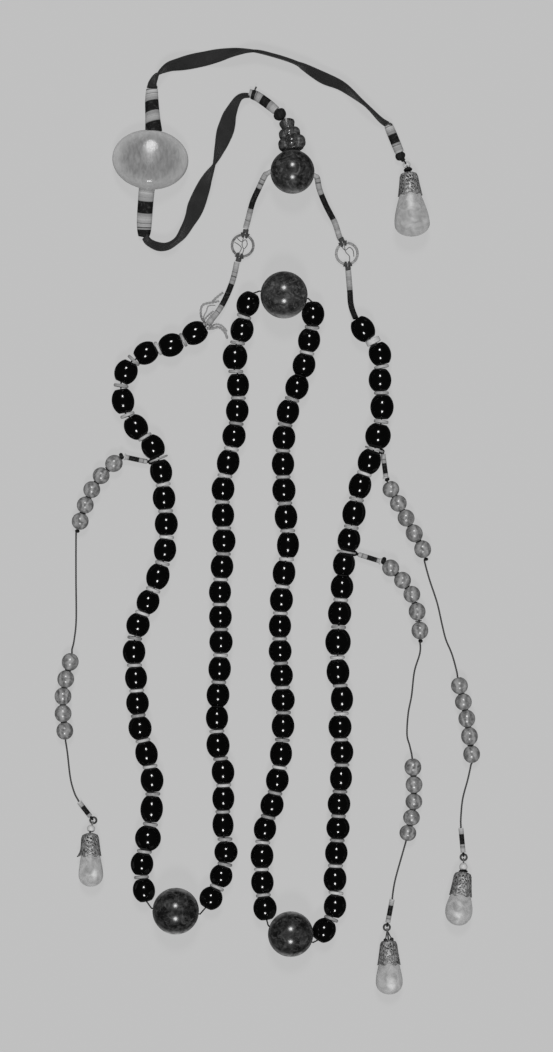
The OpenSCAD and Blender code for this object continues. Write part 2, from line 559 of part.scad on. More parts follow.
// Neck rings, and the cords that are lashed to them
neck_ring_r = (neck_ring_w - neck_wire_w) / 2;
lobe_in = neck_wire_w / 2 + 0.2;
lobe_out = 1.6;
lobe_half = 0.6;
collar_end = 2.9;
module neck_ring(at) { translate([at.x, at.y, neck_ring_z]) torus(neck_ring_r, neck_wire_w / 2); }
module neck_ring_left() { color("#787878") neck_ring(neck_ring_left_at); }
module neck_ring_right() { color("#787878") neck_ring(neck_ring_right_at); }
function ring_way(at, row) = unit([row[1] - at.x, row[2] - at.y, 0]);
function on_ring(at, row, out) = [at.x, at.y, neck_ring_z] + (neck_ring_r + out) * ring_way(at, row);
function cord_sections(rows) = [for (u = [0 : 0.25 : len(rows) - 1])
    let (p = along(rows, u)) [p[1], p[2], p[3], p[4], p[4], 0]];
module lobe() {
    bend_r = (lobe_out - lobe_in) / 2;
    rotate_extrude() {
        translate([lobe_in, -lobe_half]) square([2 * bend_r, 2 * lobe_half]);
        for (side = [-1, 1]) translate([lobe_in + bend_r, side * lobe_half]) circle(bend_r);
    }
}
// Two lobes round the ring and a collar that the end of the cord is bound into
module lashing(at, row) {
    way = ring_way(at, row);
    side = cross(way, up);
    difference() {
        union() {
            for (k = [-1, 1]) translate(on_ring(at, row, 0) + k * 1.05 * side - 0.1 * way)
                point_along(unit(side - k * 0.2 * way)) lobe();
            rod(on_ring(at, row, lobe_out - 0.5), on_ring(at, row, collar_end), cord_r);
        }
        rod(on_ring(at, row, lobe_out), on_ring(at, row, 2 * collar_end), stem_r + gap);
    }
}
module neck_lashings() {
    color("#202020") {
        lashing(neck_ring_left_at, neck_left_upper_rows[len(neck_left_upper_rows) - 1]);
        lashing(neck_ring_left_at, neck_left_lower_rows[0]);
        lashing(neck_ring_right_at, neck_right_upper_rows[len(neck_right_upper_rows) - 1]);
        lashing(neck_ring_right_at, neck_right_lower_rows[0]);
    }
}
function bound_end(at, row) = [thread_section(on_ring(at, row, lobe_out + 0.2), stem_r),
    thread_section(on_ring(at, row, collar_end + 2 * gap), stem_r),
    thread_section(on_ring(at, row, collar_end + 3 * gap), cord_r)];
module cord_from_head(rows, at, side) {
    hole = head_w / 2 * side * head_hole;
    head = ball_middle(head_bead_at);
    end = bound_end(at, rows[len(rows) - 1]);
    inner = [thread_section(head + 0.3 * hole, 0.9), thread_section(head + 1.05 * hole, 0.9)];
    color("#a8a8a8")
        sweep(concat(inner, cord_sections(rows), [end[2], end[1], end[0]]), round_outline(8));
}
module cord_to_strand(rows, at) {
    color("#a8a8a8") sweep(concat(bound_end(at, rows[0]), cord_sections(rows)), round_outline(8));
}
module neck_cord_left_upper() { cord_from_head(neck_left_upper_rows, neck_ring_left_at, -1); }
module neck_cord_left_lower() { cord_to_strand(neck_left_lower_rows, neck_ring_left_at); }
module neck_cord_right_upper() { cord_from_head(neck_right_upper_rows, neck_ring_right_at, 1); }
module neck_cord_right_lower() { cord_to_strand(neck_right_lower_rows, neck_ring_right_at); }

// Counting strings
module string_washers() {
    color("#9a9a9a") for (n = [0 : 2]) difference() {
        disc(washer_at(n), washer_axis(n), washer_w, washer_t, spacer_bore_r);
        translate(washer_at(n) + washer_hole_out * string_way(n)) point_along(washer_axis(n))
            cylinder(r = washer_eye_hole_r, h = 3 * washer_t, center = true);
    }
}
module sleeve_upper(n) {
    near = sleeve_near(n);
    far = sleeve_far(n);
    way = unit(far - near);
    color("#9c9c9c") difference() {
        union() {
            rod(near, far, sleeve_r);
            rod(sleeve_neck_at(n), near + 0.5 * way, 0.45);
            translate(sleeve_eye(n)) point_along(cross(string_way(n), washer_axis(n)))
                torus(sleeve_eye_r, wire_r);
        }
        rod(near + 1.5 * way, far + way, sleeve_bore_r);
    }
}
module left_string_sleeve_upper() { sleeve_upper(0); }
module middle_string_sleeve_upper() { sleeve_upper(1); }
module right_string_sleeve_upper() { sleeve_upper(2); }

module string_beads(n) {
    color("#828282") for (g = [0 : 1]) for (i = [0 : count_last])
        turned_bead(count_at[n][g][i], count_axis(n, g, i), count_w / 2, count_half(n, g, i),
            count_face_r, count_bore_r);
}
module left_string_beads() { string_beads(0); }
module middle_string_beads() { string_beads(1); }
module right_string_beads() { string_beads(2); }

module string_thread(n) {
    r = string_w / 2;
    near = sleeve_near(n);
    far = sleeve_far(n);
    low = lower_near(n);
    low_end = eye_end(drop_of(n), low);
    group = [for (g = [0 : 1]) [for (i = [0 : count_last]) for (side = [-1, 1])
        thread_section(count_face(n, g, i, side), r)]];
    first_knot = middle(far, count_face(n, 0, 0, -1));
    group_end = count_face(n, 0, count_last, 1);
    last_way = unit(bare_between[n][0] - group_end);
    color("#3a3a3a") sweep(concat(
        [thread_section(near + 2 * unit(far - near), r)],
        swollen(first_knot, unit(count_face(n, 0, 0, -1) - far), 0.9),
        group[0],
        swollen(group_end + 1.2 * last_way, last_way, 0.9),
        [for (k = [1 : len(bare_between[n]) - 1]) thread_section(bare_between[n][k], r)],
        group[1],
        [for (p = bare_below[n]) thread_section(p, r)],
        [thread_section(low, r), thread_section(low_end + 2 * unit(low - low_end), r)]), round_outline(6));
}
module left_string_thread() { string_thread(0); }
module middle_string_thread() { string_thread(1); }
module right_string_thread() { string_thread(2); }

// The eye of a sleeve, binding or cap stands on edge and holds the small ring
module drop_eye(d, from) {
    translate(eye_at(d, from)) point_along(cross(eye_way(d, from), ring_normal(d)))
        torus(eye_r, wire_r);
}
module sleeve_lower(n) {
    near = lower_near(n);
    end = eye_end(drop_of(n), near);
    way = unit(end - near);
    color("#9c9c9c") difference() {
        union() {
            rod(near, end, sleeve_r);
            drop_eye(drop_of(n), near);
        }
        rod(near - way, end - 1.5 * way, sleeve_bore_r);
    }
}
module left_string_sleeve_lower() { sleeve_lower(0); }
module middle_string_sleeve_lower() { sleeve_lower(1); }
module right_string_sleeve_lower() { sleeve_lower(2); }

// Drops
module drop_ring(d) {
    color("#505050") translate(ring_at(d)) point_along(ring_normal(d)) torus(ring_r, wire_r);
}
module ribbon_drop_ring() { drop_ring(0); }
module left_drop_ring() { drop_ring(1); }
module middle_drop_ring() { drop_ring(2); }
module right_drop_ring() { drop_ring(3); }

// A pierced cap: a domed shell that flares to its mouth, with an eye on a post
function cap_outline(d, inset) = [[0, inset], [1.6, inset],
    [shoulder_r(d) - 1.2 - inset * 0.4, 0.9 + inset], [shoulder_r(d) - inset, 2.6 + inset * 0.4],
    [shoulder_r(d) + 0.35 * (mouth_r(d) - shoulder_r(d)) - inset, 0.55 * cap_l(d)],
    [mouth_r(d) - inset, cap_l(d)]];
window_out = 2.9;
window_r = 0.95;
window_first = 3.6;
window_last = 1.3;
module cap(d) {
    way = unit(cap_top(d) - ring_at(d));
    window_step = (cap_l(d) - window_last - window_first) / (cap_window_rows - 1);
    color("#6e6e6e") union() {
        translate(cap_top(d)) point_along(drop_axis(d)) difference() {
            rotate_extrude() polygon(concat(cap_outline(d, 0), [[0, cap_l(d)]]));
            rotate_extrude() polygon(concat(cap_outline(d, cap_wall),
                [[mouth_r(d) - cap_wall, 2 * cap_l(d)], [0, 2 * cap_l(d)]]));
            for (j = [0 : cap_columns - 1]) for (k = [0 : cap_window_rows - 1])
                rotate([0, 0, (j + 0.5 * (k % 2)) * 360 / cap_columns])
                    translate([window_out, 0, window_first + k * window_step])
                    rotate([0, 90, 0]) cylinder(r = window_r, h = 2 * mouth_r(d), $fn = 24);
        }
        rod(eye_end(d, cap_top(d)) - 0.1 * way, cap_top(d) + 0.4 * way, 0.45);
        drop_eye(d, cap_top(d));
    }
}
module ribbon_drop_cap() { cap(0); }
module left_drop_cap() { cap(1); }
module middle_drop_cap() { cap(2); }
module right_drop_cap() { cap(3); }

// Pear-shaped stone: straight flanks and a round foot
function foot_l(d) = drop_l(d) - widest_at(d);
module stone(d) {
    neck_r = shoulder_r(d) - cap_wall - 0.5;
    flank = [[0, 1.8], [neck_r - 1.6, 2.2], [neck_r, 4.2],
        [mouth_r(d) - cap_wall - gap - 0.2, cap_l(d) - 0.2]];
    foot = [for (a = [-20 : 10 : 80]) [stone_r(d) * cos(a), widest_at(d) + foot_l(d) * sin(a)]];
    color("#b4b4b4") translate(cap_top(d)) point_along(drop_axis(d)) rotate_extrude()
        polygon(concat(flank, foot, [[0, drop_l(d)]]));
}
module ribbon_drop_stone() { stone(0); }
module left_drop_stone() { stone(1); }
module middle_drop_stone() { stone(2); }
module right_drop_stone() { stone(3); }

// Small bead on the post of a cap
module post_bead(d) {
    way = unit(cap_top(d) - ring_at(d));
    out = gap + post_bead_l(d) / 2 + 1.6 * sin(turn(way, drop_axis(d)));
    color("#d0d0d0") turned_bead(cap_top(d) - out * way, way, 2, post_bead_l(d) / 2, 1.2, 0.65);
}
module left_drop_bead() { post_bead(1); }
module right_drop_bead() { post_bead(3); }

head_bead();
stupa();
stupa_knot();
back_bead();
left_foot_bead();
right_foot_bead();
beads_left_outer();
beads_left_inner();
beads_right_inner();
beads_right_outer();
spacers_left_outer();
spacers_left_inner();
spacers_right_inner();
spacers_right_outer();
thread_left_outer();
thread_left_inner();
thread_right_inner();
thread_right_outer();
neck_cord_left_upper();
neck_cord_left_lower();
neck_cord_right_upper();
neck_cord_right_lower();
neck_ring_left();
neck_ring_right();
neck_lashings();
ribbon_lower();
ribbon_upper();
binding_stupa();
binding_plaque_below();
binding_plaque_above();
binding_drop();
plaque_bead();
string_washers();
left_string_sleeve_upper();
left_string_beads();
left_string_thread();
left_string_sleeve_lower();
middle_string_sleeve_upper();
middle_string_beads();
middle_string_thread();
middle_string_sleeve_lower();
right_string_sleeve_upper();
right_string_beads();
right_string_thread();
right_string_sleeve_lower();
ribbon_drop_bail();
ribbon_drop_ring();
ribbon_drop_cap();
ribbon_drop_stone();
left_drop_ring();
left_drop_bead();
left_drop_cap();
left_drop_stone();
middle_drop_ring();
middle_drop_cap();
middle_drop_stone();
right_drop_ring();
right_drop_bead();
right_drop_cap();
right_drop_stone();
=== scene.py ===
# %% [markdown]
# # A long court necklace, laid out flat
# The necklace is a closed loop of black glass beads with pale discs between them, four large
# beads, a ribbon with an oval bead, three strings of small grey beads, and four capped drops.
# The solids that carry it are already packed. This lesson dresses them: each step looks at what
# a piece is on the real object, and picks the mesh and the finish that show it best.

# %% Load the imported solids
import math
from types import SimpleNamespace

import bpy
import numpy as np
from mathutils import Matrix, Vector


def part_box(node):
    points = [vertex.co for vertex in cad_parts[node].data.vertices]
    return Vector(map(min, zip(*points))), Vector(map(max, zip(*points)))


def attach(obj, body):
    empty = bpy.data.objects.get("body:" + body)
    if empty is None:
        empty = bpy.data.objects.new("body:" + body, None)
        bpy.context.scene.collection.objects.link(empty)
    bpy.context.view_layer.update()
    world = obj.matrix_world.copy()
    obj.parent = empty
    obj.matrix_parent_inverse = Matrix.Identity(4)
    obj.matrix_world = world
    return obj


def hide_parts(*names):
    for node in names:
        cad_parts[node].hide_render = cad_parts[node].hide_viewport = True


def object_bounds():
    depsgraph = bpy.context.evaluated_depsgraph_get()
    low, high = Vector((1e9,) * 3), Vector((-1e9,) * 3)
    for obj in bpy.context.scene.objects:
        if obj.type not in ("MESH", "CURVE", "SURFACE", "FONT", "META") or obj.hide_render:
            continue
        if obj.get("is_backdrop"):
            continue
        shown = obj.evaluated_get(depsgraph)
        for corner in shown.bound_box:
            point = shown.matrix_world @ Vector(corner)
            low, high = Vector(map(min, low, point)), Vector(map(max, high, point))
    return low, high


def scene_object(name, data):
    obj = bpy.data.objects.new(name, data)
    bpy.context.scene.collection.objects.link(obj)
    return obj


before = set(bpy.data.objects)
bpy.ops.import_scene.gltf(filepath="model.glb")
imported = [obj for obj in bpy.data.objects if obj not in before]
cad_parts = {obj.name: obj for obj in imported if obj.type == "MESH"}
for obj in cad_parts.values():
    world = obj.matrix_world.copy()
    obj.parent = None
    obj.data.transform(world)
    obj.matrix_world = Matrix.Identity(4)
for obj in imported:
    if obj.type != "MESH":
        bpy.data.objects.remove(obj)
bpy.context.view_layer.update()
MM = 0.001

# %% [markdown]
# ## The camera
# The photograph looks straight down on the necklace. A long lens a good way above keeps the
# beads at the rim from leaning outwards. One pixel of the photograph is half a millimetre on
# the plane through the middles of the black beads, so that plane sets the distance.

# %% Camera above the table
PHOTO_W = 553
PHOTO_H = 1052
MM_PER_PIXEL = 0.5
ZERO_PIXEL = (268, 520)
BEAD_PLANE = 6 * MM
CAMERA_ABOVE = 1900 * MM
SENSOR = 36.0

photo_height = PHOTO_H * MM_PER_PIXEL * MM
middle_x = (PHOTO_W / 2 - ZERO_PIXEL[0]) * MM_PER_PIXEL * MM
middle_y = (ZERO_PIXEL[1] - PHOTO_H / 2) * MM_PER_PIXEL * MM
camera_data = bpy.data.cameras.new("camera")
camera_data.sensor_width = SENSOR
camera_data.lens = SENSOR * CAMERA_ABOVE / photo_height
camera_data.clip_end = 10
camera = scene_object("camera", camera_data)
camera.location = (middle_x, middle_y, BEAD_PLANE + CAMERA_ABOVE)
bpy.context.scene.camera = camera
print("lens in mm:", round(camera_data.lens, 1))

# %% [markdown]
# ## Two round lamps and a dim room
# Each bead shows two small round highlights, one towards each end of the table, and is black
# elsewhere. So the light comes from two round lamps that lean about 33 degrees from straight
# above, in a dim room. A sun lamp with a wide disc gives each bead the same round highlight.

# %% Lamps and room
LAMP_LEAN = math.radians(33)
LAMP_DISC = math.radians(14)
LAMP_POWER = 1.9
ROOM_LIGHT = 0.03
for name, side in (("far", -1), ("near", 1)):
    lamp_data = bpy.data.lights.new("lamp_" + name, "SUN")
    lamp_data.energy = LAMP_POWER
    lamp_data.angle = LAMP_DISC
    lamp = scene_object("lamp_" + name, lamp_data)
    lamp.rotation_euler = (side * LAMP_LEAN, 0, 0)
room = bpy.data.worlds.new("room")
room.use_nodes = True
room_light = room.node_tree.nodes["Background"].inputs
room_light["Color"].default_value = (1, 1, 1, 1)
room_light["Strength"].default_value = ROOM_LIGHT
bpy.context.scene.world = room
bpy.context.scene.view_settings.view_transform = "Standard"
print("lamps:", len(bpy.data.lights))

# %% [markdown]
# ## Shader sums as plain expressions
# A finish is a small sum: a base tone, plus cloud, plus speckle. Written with one node call per
# line it would be hard to read, so a socket is wrapped in a class that knows + - and *, also
# with the number on the left. Any other node comes from one method, which takes its kind, its
# settings and its inputs.


# %% Sockets that can be added and multiplied
class Link:
    """The output of a shader node, for use in a sum."""

    def __init__(self, finish, socket):
        self.finish = finish
        self.socket = socket

    def operator(operation, swapped=False):
        """A method that joins this output and another value in one maths node."""
        def method(self, other):
            pair = (other, self) if swapped else (self, other)
            return self.finish.node("ShaderNodeMath", {"operation": operation}, dict(enumerate(pair)))
        return method

    __add__ = operator("ADD")
    __radd__ = operator("ADD", swapped=True)
    __sub__ = operator("SUBTRACT")
    __rsub__ = operator("SUBTRACT", swapped=True)
    __mul__ = operator("MULTIPLY")
    __rmul__ = operator("MULTIPLY", swapped=True)


# %% [markdown]
# A finish is a material with one principled shader. Numbers that are the same all over go
# straight onto the shader. A mark is a number that a mesh carries at each of its points.

# %% The finish and its nodes
class Finish:
    """A material: its steady numbers go straight onto the shader, the rest is linked."""

    def __init__(self, name, steady):
        self.material = bpy.data.materials.new(name)
        self.material.use_nodes = True
        self.tree = self.material.node_tree
        self.surface = self.tree.nodes["Principled BSDF"]
        self.spot = None
        for socket, value in steady.items():
            self.surface.inputs[socket].default_value = value

    def feed(self, socket, value):
        if isinstance(value, Link):
            self.tree.links.new(value.socket, socket)
        else:
            socket.default_value = value

    def node(self, kind, settings=None, inputs=None, output=0):
        made = self.tree.nodes.new(kind)
        for setting, value in (settings or {}).items():
            if setting == "stops":
                ramp = made.color_ramp.elements
                while len(ramp) < len(value):
                    ramp.new(0.5)
                for stop, (place, tone) in zip(ramp, value):
                    stop.position = place
                    stop.color = (tone, tone, tone, 1)
            else:
                setattr(made, setting, value)
        for socket, value in (inputs or {}).items():
            self.feed(made.inputs[socket], value)
        return Link(self, made.outputs[output])

    def set(self, socket, value):
        self.feed(self.surface.inputs[socket], value)

    def look(self, tone, roughness):
        self.set("Base Color", self.grey(tone))
        self.set("Roughness", roughness)

    def mark(self, name):
        return self.node("ShaderNodeAttribute", {"attribute_name": name}, output=2)

    def noise(self, scale, detail=3, distortion=0, where=None):
        where = where or self.place()
        inputs = {"Vector": where, "Scale": scale, "Detail": detail, "Distortion": distortion}
        return self.node("ShaderNodeTexNoise", {}, inputs)

    def ramp(self, value, stops):
        return self.node("ShaderNodeValToRGB", {"stops": stops}, {0: value})

    def grey(self, value):
        return self.node("ShaderNodeCombineColor", {}, {0: value, 1: value, 2: value})

    def place(self):
        if self.spot is None:
            self.spot = self.node("ShaderNodeTexCoord", output=3)
        return self.spot

    def bump(self, height, strength, distance):
        steady = {"Strength": strength, "Distance": distance, "Height": height}
        self.set("Normal", self.node("ShaderNodeBump", {}, steady))


# %% [markdown]
# ## The finishes
# The photograph has no colour, so each finish is a neutral grey of the right lightness. Black
# glass is nearly pure black under a clear polish. The smudges are in the roughness alone, which
# breaks the edge of each highlight a little, as finger marks do.

# %% Black glass
black_glass = Finish("black_glass", {"IOR": 1.42})
black_glass.look(black_glass.noise(160, 2) * 0.0015 + 0.0005, black_glass.noise(260, 3) * 0.1 + 0.07)
print("finish made:", black_glass.material.name)

# %% [markdown]
# The large beads are dark glass with cloudy veins. The light that their undersides take from the
# pale table is painted into their colour, so seen from above each has a painted pale rim. The mark
# called rim carries this painted light and grows with how far down a point lies, and the cloud is a
# noise stretched by a second noise.

# %% Large glass, mottled
def mottled(name, dark, light, rim_light, vein):
    finish = Finish(name, {"IOR": 1.45})
    cloud = finish.ramp(finish.noise(vein, 5, 1.2), [(0.4, 0), (0.62, 1)])
    spots = finish.ramp(finish.noise(vein * 2.6, 4, 0.8), [(0.5, 0), (0.72, 1)])
    veins = finish.ramp(finish.noise(vein * 0.7, 6, 3.0), [(0.56, 0), (0.68, 1)])
    rim = finish.mark("rim")
    tone = cloud * (light - dark) + dark + spots * (light * 1.1) + veins * (light * 1.5)
    # Painted light on the large beads: the rim mark adds pale tone in place of the table's light.
    tone = tone + rim * (cloud * 0.7 + 0.5) * rim_light
    finish.look(tone, finish.noise(300, 2) * 0.08 + 0.19)
    return finish


head_glass = mottled("head_glass", 0.008, 0.035, 0.22, 210)
back_glass = mottled("back_glass", 0.014, 0.045, 0.26, 230)
foot_glass = mottled("foot_glass", 0.006, 0.03, 0.5, 210)
carved_stone = mottled("carved_stone", 0.012, 0.05, 0.05, 330)
carved_stone.set("Roughness", 0.45 - carved_stone.mark("polish") * 0.29)
print("mottled finishes made")

# %% [markdown]
# The small beads of the counting strings are grey glass with swirled bands, like marble. Each
# bead carries its own mark, which shifts the pattern, so no two beads look alike.

# %% Grey glass with bands
grey_glass = Finish("grey_glass", {"IOR": 1.5})
own = grey_glass.node("ShaderNodeVectorMath", {"operation": "ADD"},
                      {0: grey_glass.place(), 1: grey_glass.grey(grey_glass.mark("own"))})
swirl = grey_glass.ramp(grey_glass.noise(330, 5, 2.5, own), [(0.3, 0), (0.7, 1)])
bands = grey_glass.node("ShaderNodeTexWave", {}, {"Vector": own, "Scale": 90, "Distortion": 9,
                                                  "Detail": 3, "Detail Scale": 1.5}, output=1)
grey_glass.look(swirl * 0.16 + bands * 0.15 + 0.07, grey_glass.noise(500, 3) * 0.2 + 0.18)
print("finish made:", grey_glass.material.name)

# %% [markdown]
# Light goes a little way into pale glass and stone before it comes back, which softens their
# shading. The oval bead is finely specked and nearly polished, and is painted paler towards its
# rim, painted light that evens out the shade of its sloping sides.


# %% Pale glass and stones
def soft_finish(name, ior, weight, depth):
    return Finish(name, {"IOR": ior, "Subsurface Weight": weight, "Subsurface Scale": depth,
                         "Subsurface Radius": (1, 1, 1)})


pale_glass = soft_finish("pale_glass", 1.4, 0.2, 0.002)
pale_glass.look(pale_glass.noise(700, 4) * 0.2 + pale_glass.mark("tone") * 0.28 + 0.14,
                pale_glass.noise(600, 3) * 0.2 + 0.3)

pale_stone = soft_finish("pale_stone", 1.33, 0.2, 0.003)
stone_cloud = pale_stone.ramp(pale_stone.noise(190, 6, 1.6), [(0.36, 0), (0.64, 1)])
# Painted light: the rim mark pales the stones at their sides and foot, with a painted highlight near the top.
pale_stone.look(stone_cloud * 0.14 + 0.27 + pale_stone.mark("rim") * 0.2,
                pale_stone.noise(300, 3) * 0.15 + 0.36)

plaque_stone = soft_finish("plaque_stone", 1.27, 0.1, 0.003)
fibre = plaque_stone.node("ShaderNodeVectorMath", {"operation": "MULTIPLY"},
                          {0: plaque_stone.place(), 1: (1, 0.4, 1)})
speck = plaque_stone.ramp(plaque_stone.noise(700, 5, 0.6, fibre), [(0.3, 0), (0.7, 1)])
plaque_tone = speck * 0.09 + plaque_stone.noise(90, 4, 0.8) * 0.1 + 0.112
# Painted light: the rim mark pales the oval bead towards its outline.
plaque_stone.look(plaque_tone + plaque_stone.mark("rim") * 0.32, plaque_stone.noise(400, 3) * 0.06 + 0.13)
plaque_stone.bump(speck, 0.05, 0.0002)
print("soft finishes made")

# %% [markdown]
# Silk shows in three ways. The ribbon is woven so fine that it reads as a dull near-black with
# a faint cross-weave. The wound cords are pale thread, each turn a slightly other grey, with
# dark bands, so their meshes carry the marks tone and dark. The knots are plain dark thread.

# %% Silks
ribbon_weave = Finish("ribbon_weave", {"Sheen Weight": 0.1, "Sheen Roughness": 0.4,
                                       "Specular IOR Level": 0.2})
WEAVE_PITCH = 0.42
warp, weft = (ribbon_weave.node("ShaderNodeMath", {"operation": "SINE"},
                                {0: ribbon_weave.mark(way) * (math.tau / WEAVE_PITCH)})
              for way in ("warp", "weft"))
weave = warp * weft
ribbon_weave.look(ribbon_weave.noise(140, 5) * 0.022 + weave * 0.007 + 0.009,
                  ribbon_weave.noise(600, 3) * 0.2 + 0.65)
ribbon_weave.bump(weave, 0.5, 0.0002)


def wound(name, pale, dark=0.004):
    finish = Finish(name, {"Specular IOR Level": 0.15, "Sheen Weight": 0.03})
    tone = finish.mark("tone") * (pale * 0.8) + finish.noise(1500, 3) * (pale * 0.4) + pale * 0.4
    specks = finish.ramp(finish.noise(900, 3), [(0.52, 0), (0.75, 1)]) * 0.035 + dark
    finish.look(tone * (1 - finish.mark("dark")) + finish.mark("dark") * specks,
                finish.noise(700, 2) * 0.2 + 0.6)
    finish.bump(finish.noise(1800, 2), 0.2, 0.0001)
    return finish


wound_cord = wound("wound_cord", 0.36)
neck_silk = wound("neck_silk", 0.3)
dark_cord = wound("dark_cord", 0.008)
lashing_thread = wound("lashing_thread", 0.045)
pale_thread = wound("pale_thread", 0.45, 0.08)
grey_thread = wound("grey_thread", 0.05)
print("silks made")

# %% [markdown]
# The metal is silver with patches of tarnish. Its rim mark makes it paler: on the caps along the scrolls,
# with painted shade that darkens their two sides.

# %% Metals
def worn_metal(name, dark, bright):
    finish = Finish(name, {"Metallic": 0.25})
    tarnish = finish.ramp(finish.noise(480, 6, 0.8), [(0.35, 0), (0.65, 1)])
    # The rim mark adds pale tone; on the caps it carries painted shade at the sides.
    finish.look(tarnish * (bright - dark) * 0.5 + finish.mark("rim") * (bright * 0.6) + dark,
                0.7 - tarnish * 0.15)
    finish.bump(finish.noise(1200, 4), 0.3, 0.0001)
    return finish


wire_metal = worn_metal("wire_metal", 0.2, 0.55)
ring_metal = {"left": worn_metal("dim_wire", 0.1, 0.4), "right": wire_metal}
washer_metal = worn_metal("washer_metal", 0.25, 0.7)
cap_metal = worn_metal("cap_metal", 0.035, 0.45)
dark_wire = worn_metal("dark_wire", 0.008, 0.05)
print("finishes made:", len(bpy.data.materials))

# %% [markdown]
# ## From grids of points to pieces
# Nearly every piece here is a grid of points: rings round an axis, or rings along a path. The
# maker collects such grids with their marks, joins them into one mesh, and hangs the piece on
# the frame. Joining many small beads into one mesh keeps the scene light.


# %% The maker
def unit(v):
    """The vector, or each row of vectors, at length 1."""
    v = np.asarray(v, float)
    return v / np.linalg.norm(v, axis=-1, keepdims=True)


class Maker:
    """Collects grids of points, in millimetres, and turns them into one piece."""

    def __init__(self):
        self.points = []
        self.faces = []
        self.marks = {}
        self.count = 0

    def grid(self, rows, along=False, caps=False, keep=None, **marks):
        """Rings of points, each joined to the next; along joins the last ring to the first."""
        rows = np.asarray(rows, float)
        n, m = rows.shape[:2]
        a, b = np.meshgrid(np.arange(n if along else n - 1), np.arange(m), indexing="ij")
        c, d = (a + 1) % n, (b + 1) % m
        quads = np.stack([a * m + b, c * m + b, c * m + d, a * m + d], -1)
        if keep is not None:
            quads = quads[keep]
        self.faces += (quads.reshape(-1, 4) + self.count).tolist()
        if caps:
            self.faces.append(list(range(self.count, self.count + m)))
            self.faces.append(list(range(self.count + n * m - 1, self.count + (n - 1) * m - 1, -1)))
        self.points.append(rows.reshape(-1, 3))
        for name, value in marks.items():
            filled = np.broadcast_to(np.asarray(value, float), (n, m))
            self.marks.setdefault(name, []).append((self.count, filled.reshape(-1)))
        self.count += n * m

    def piece(self, name, finish, slot, *nodes):
        mesh = bpy.data.meshes.new(name)
        mesh.from_pydata((np.concatenate(self.points) * MM).tolist(), [], self.faces)
        mesh.polygons.foreach_set("use_smooth", [True] * len(self.faces))
        for mark, parts in self.marks.items():
            values = np.zeros(self.count)
            for start, part in parts:
                values[start:start + len(part)] = part
            mesh.attributes.new(mark, "FLOAT", "POINT").data.foreach_set("value", values)
        mesh.materials.append(finish.material)
        mesh.update()
        obj = scene_object(name, mesh)
        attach(obj, "root")
        if nodes:
            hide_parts(*nodes)
        print(name, "faces:", len(self.faces))
        return obj


# %% [markdown]
# Two directions across a line are enough to lay a ring of points round it. An outline of radii
# and places, laid round an axis in that way, gives a turned piece such as a bead.


# %% Rings and turned pieces
def circle(sides):
    """The angles of evenly spaced points round a circle."""
    return np.arange(sides) * math.tau / sides


def across_of(v, axis):
    """The part of a vector that lies across an axis, at length 1."""
    return unit(v - (v @ axis) * axis)


def axes_of(axis):
    """Two directions across an axis, and the axis itself."""
    axis = unit(axis)
    side = unit(np.cross(axis, (0, 1, 0) if abs(axis[2]) > 0.98 else (0, 0, 1)))
    return side, np.cross(side, axis), axis


def rings(points, side, top, wide, tall=None, sides=40):
    """A ring round each point: wide is its reach along side, and tall its reach along top."""
    angles = circle(sides)
    tall = wide if tall is None else tall
    points, side, top = (np.reshape(v, (-1, 1, 3)) for v in (points, side, top))
    return points + (wide * np.cos(angles))[..., None] * side + (tall * np.sin(angles))[..., None] * top


def turned(at, axis, outline, sides=40):
    """Rings of an outline (radius, place along the axis) turned round that axis."""
    side, top, axis = axes_of(axis)
    outline = np.asarray(outline, float)
    return rings(at + outline[:, 1:] * axis, side, top, outline[:, :1], sides=sides)


# %% [markdown]
# ## Where the beads are
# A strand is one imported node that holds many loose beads. The places aren't typed in again:
# touching faces are gathered into solids, and the middle, axis and size are read off each.


# %% Read the loose solids of a node
def loose_solids(node):
    """The points of each solid of a node, and its faces' normals and areas."""
    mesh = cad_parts[node].data
    points = np.array([v.co for v in mesh.vertices]) / MM
    _, first, same = np.unique(points.round(4), axis=0, return_index=True, return_inverse=True)
    points, same = points[first], same.reshape(-1)
    polygons = [same[list(p.vertices)] for p in mesh.polygons]
    edges = np.array([(p[k], p[k - 1]) for p in polygons for k in range(len(p))])
    label = np.arange(len(points))
    before = label + 1
    while (label != before).any():
        before = label.copy()
        low = label[edges].min(1)
        np.minimum.at(label, edges[:, 0], low)
        np.minimum.at(label, edges[:, 1], low)
        label = label[label]
    home = np.array([label[p[0]] for p in polygons])
    normals = np.array([p.normal for p in mesh.polygons])
    areas = np.array([p.area for p in mesh.polygons])
    return [(points[label == name], normals[home == name], areas[home == name]) for name in np.unique(home)]


def measured(own, axis, middle):
    """Middle, axis, half length and radius of a turned solid."""
    reach = (own - middle) @ axis
    across = np.linalg.norm(own - middle - reach[:, None] * axis, axis=1)
    return SimpleNamespace(at=middle, axis=axis, half=(reach.max() - reach.min()) / 2, r=across.max())


def read_bead(solid):
    """A bead's axis is the normal with the most area, that of its flat ends."""
    own, normals, areas = solid
    kinds, which = np.unique(normals.round(3), axis=0, return_inverse=True)
    axis = unit(kinds[np.bincount(which.reshape(-1), areas).argmax()])
    middle = (own.min(0) + own.max(0)) / 2
    for _ in range(3):
        reach = (own - middle) @ axis
        middle = middle + axis * (reach.max() + reach.min()) / 2
    return measured(own, axis, middle)


def read_disc(solid):
    """A disc's axis is the way in which its points spread least."""
    own = solid[0]
    middle = (own.min(0) + own.max(0)) / 2
    return measured(own, np.linalg.eigh(np.cov((own - middle).T))[1][:, 0], middle)


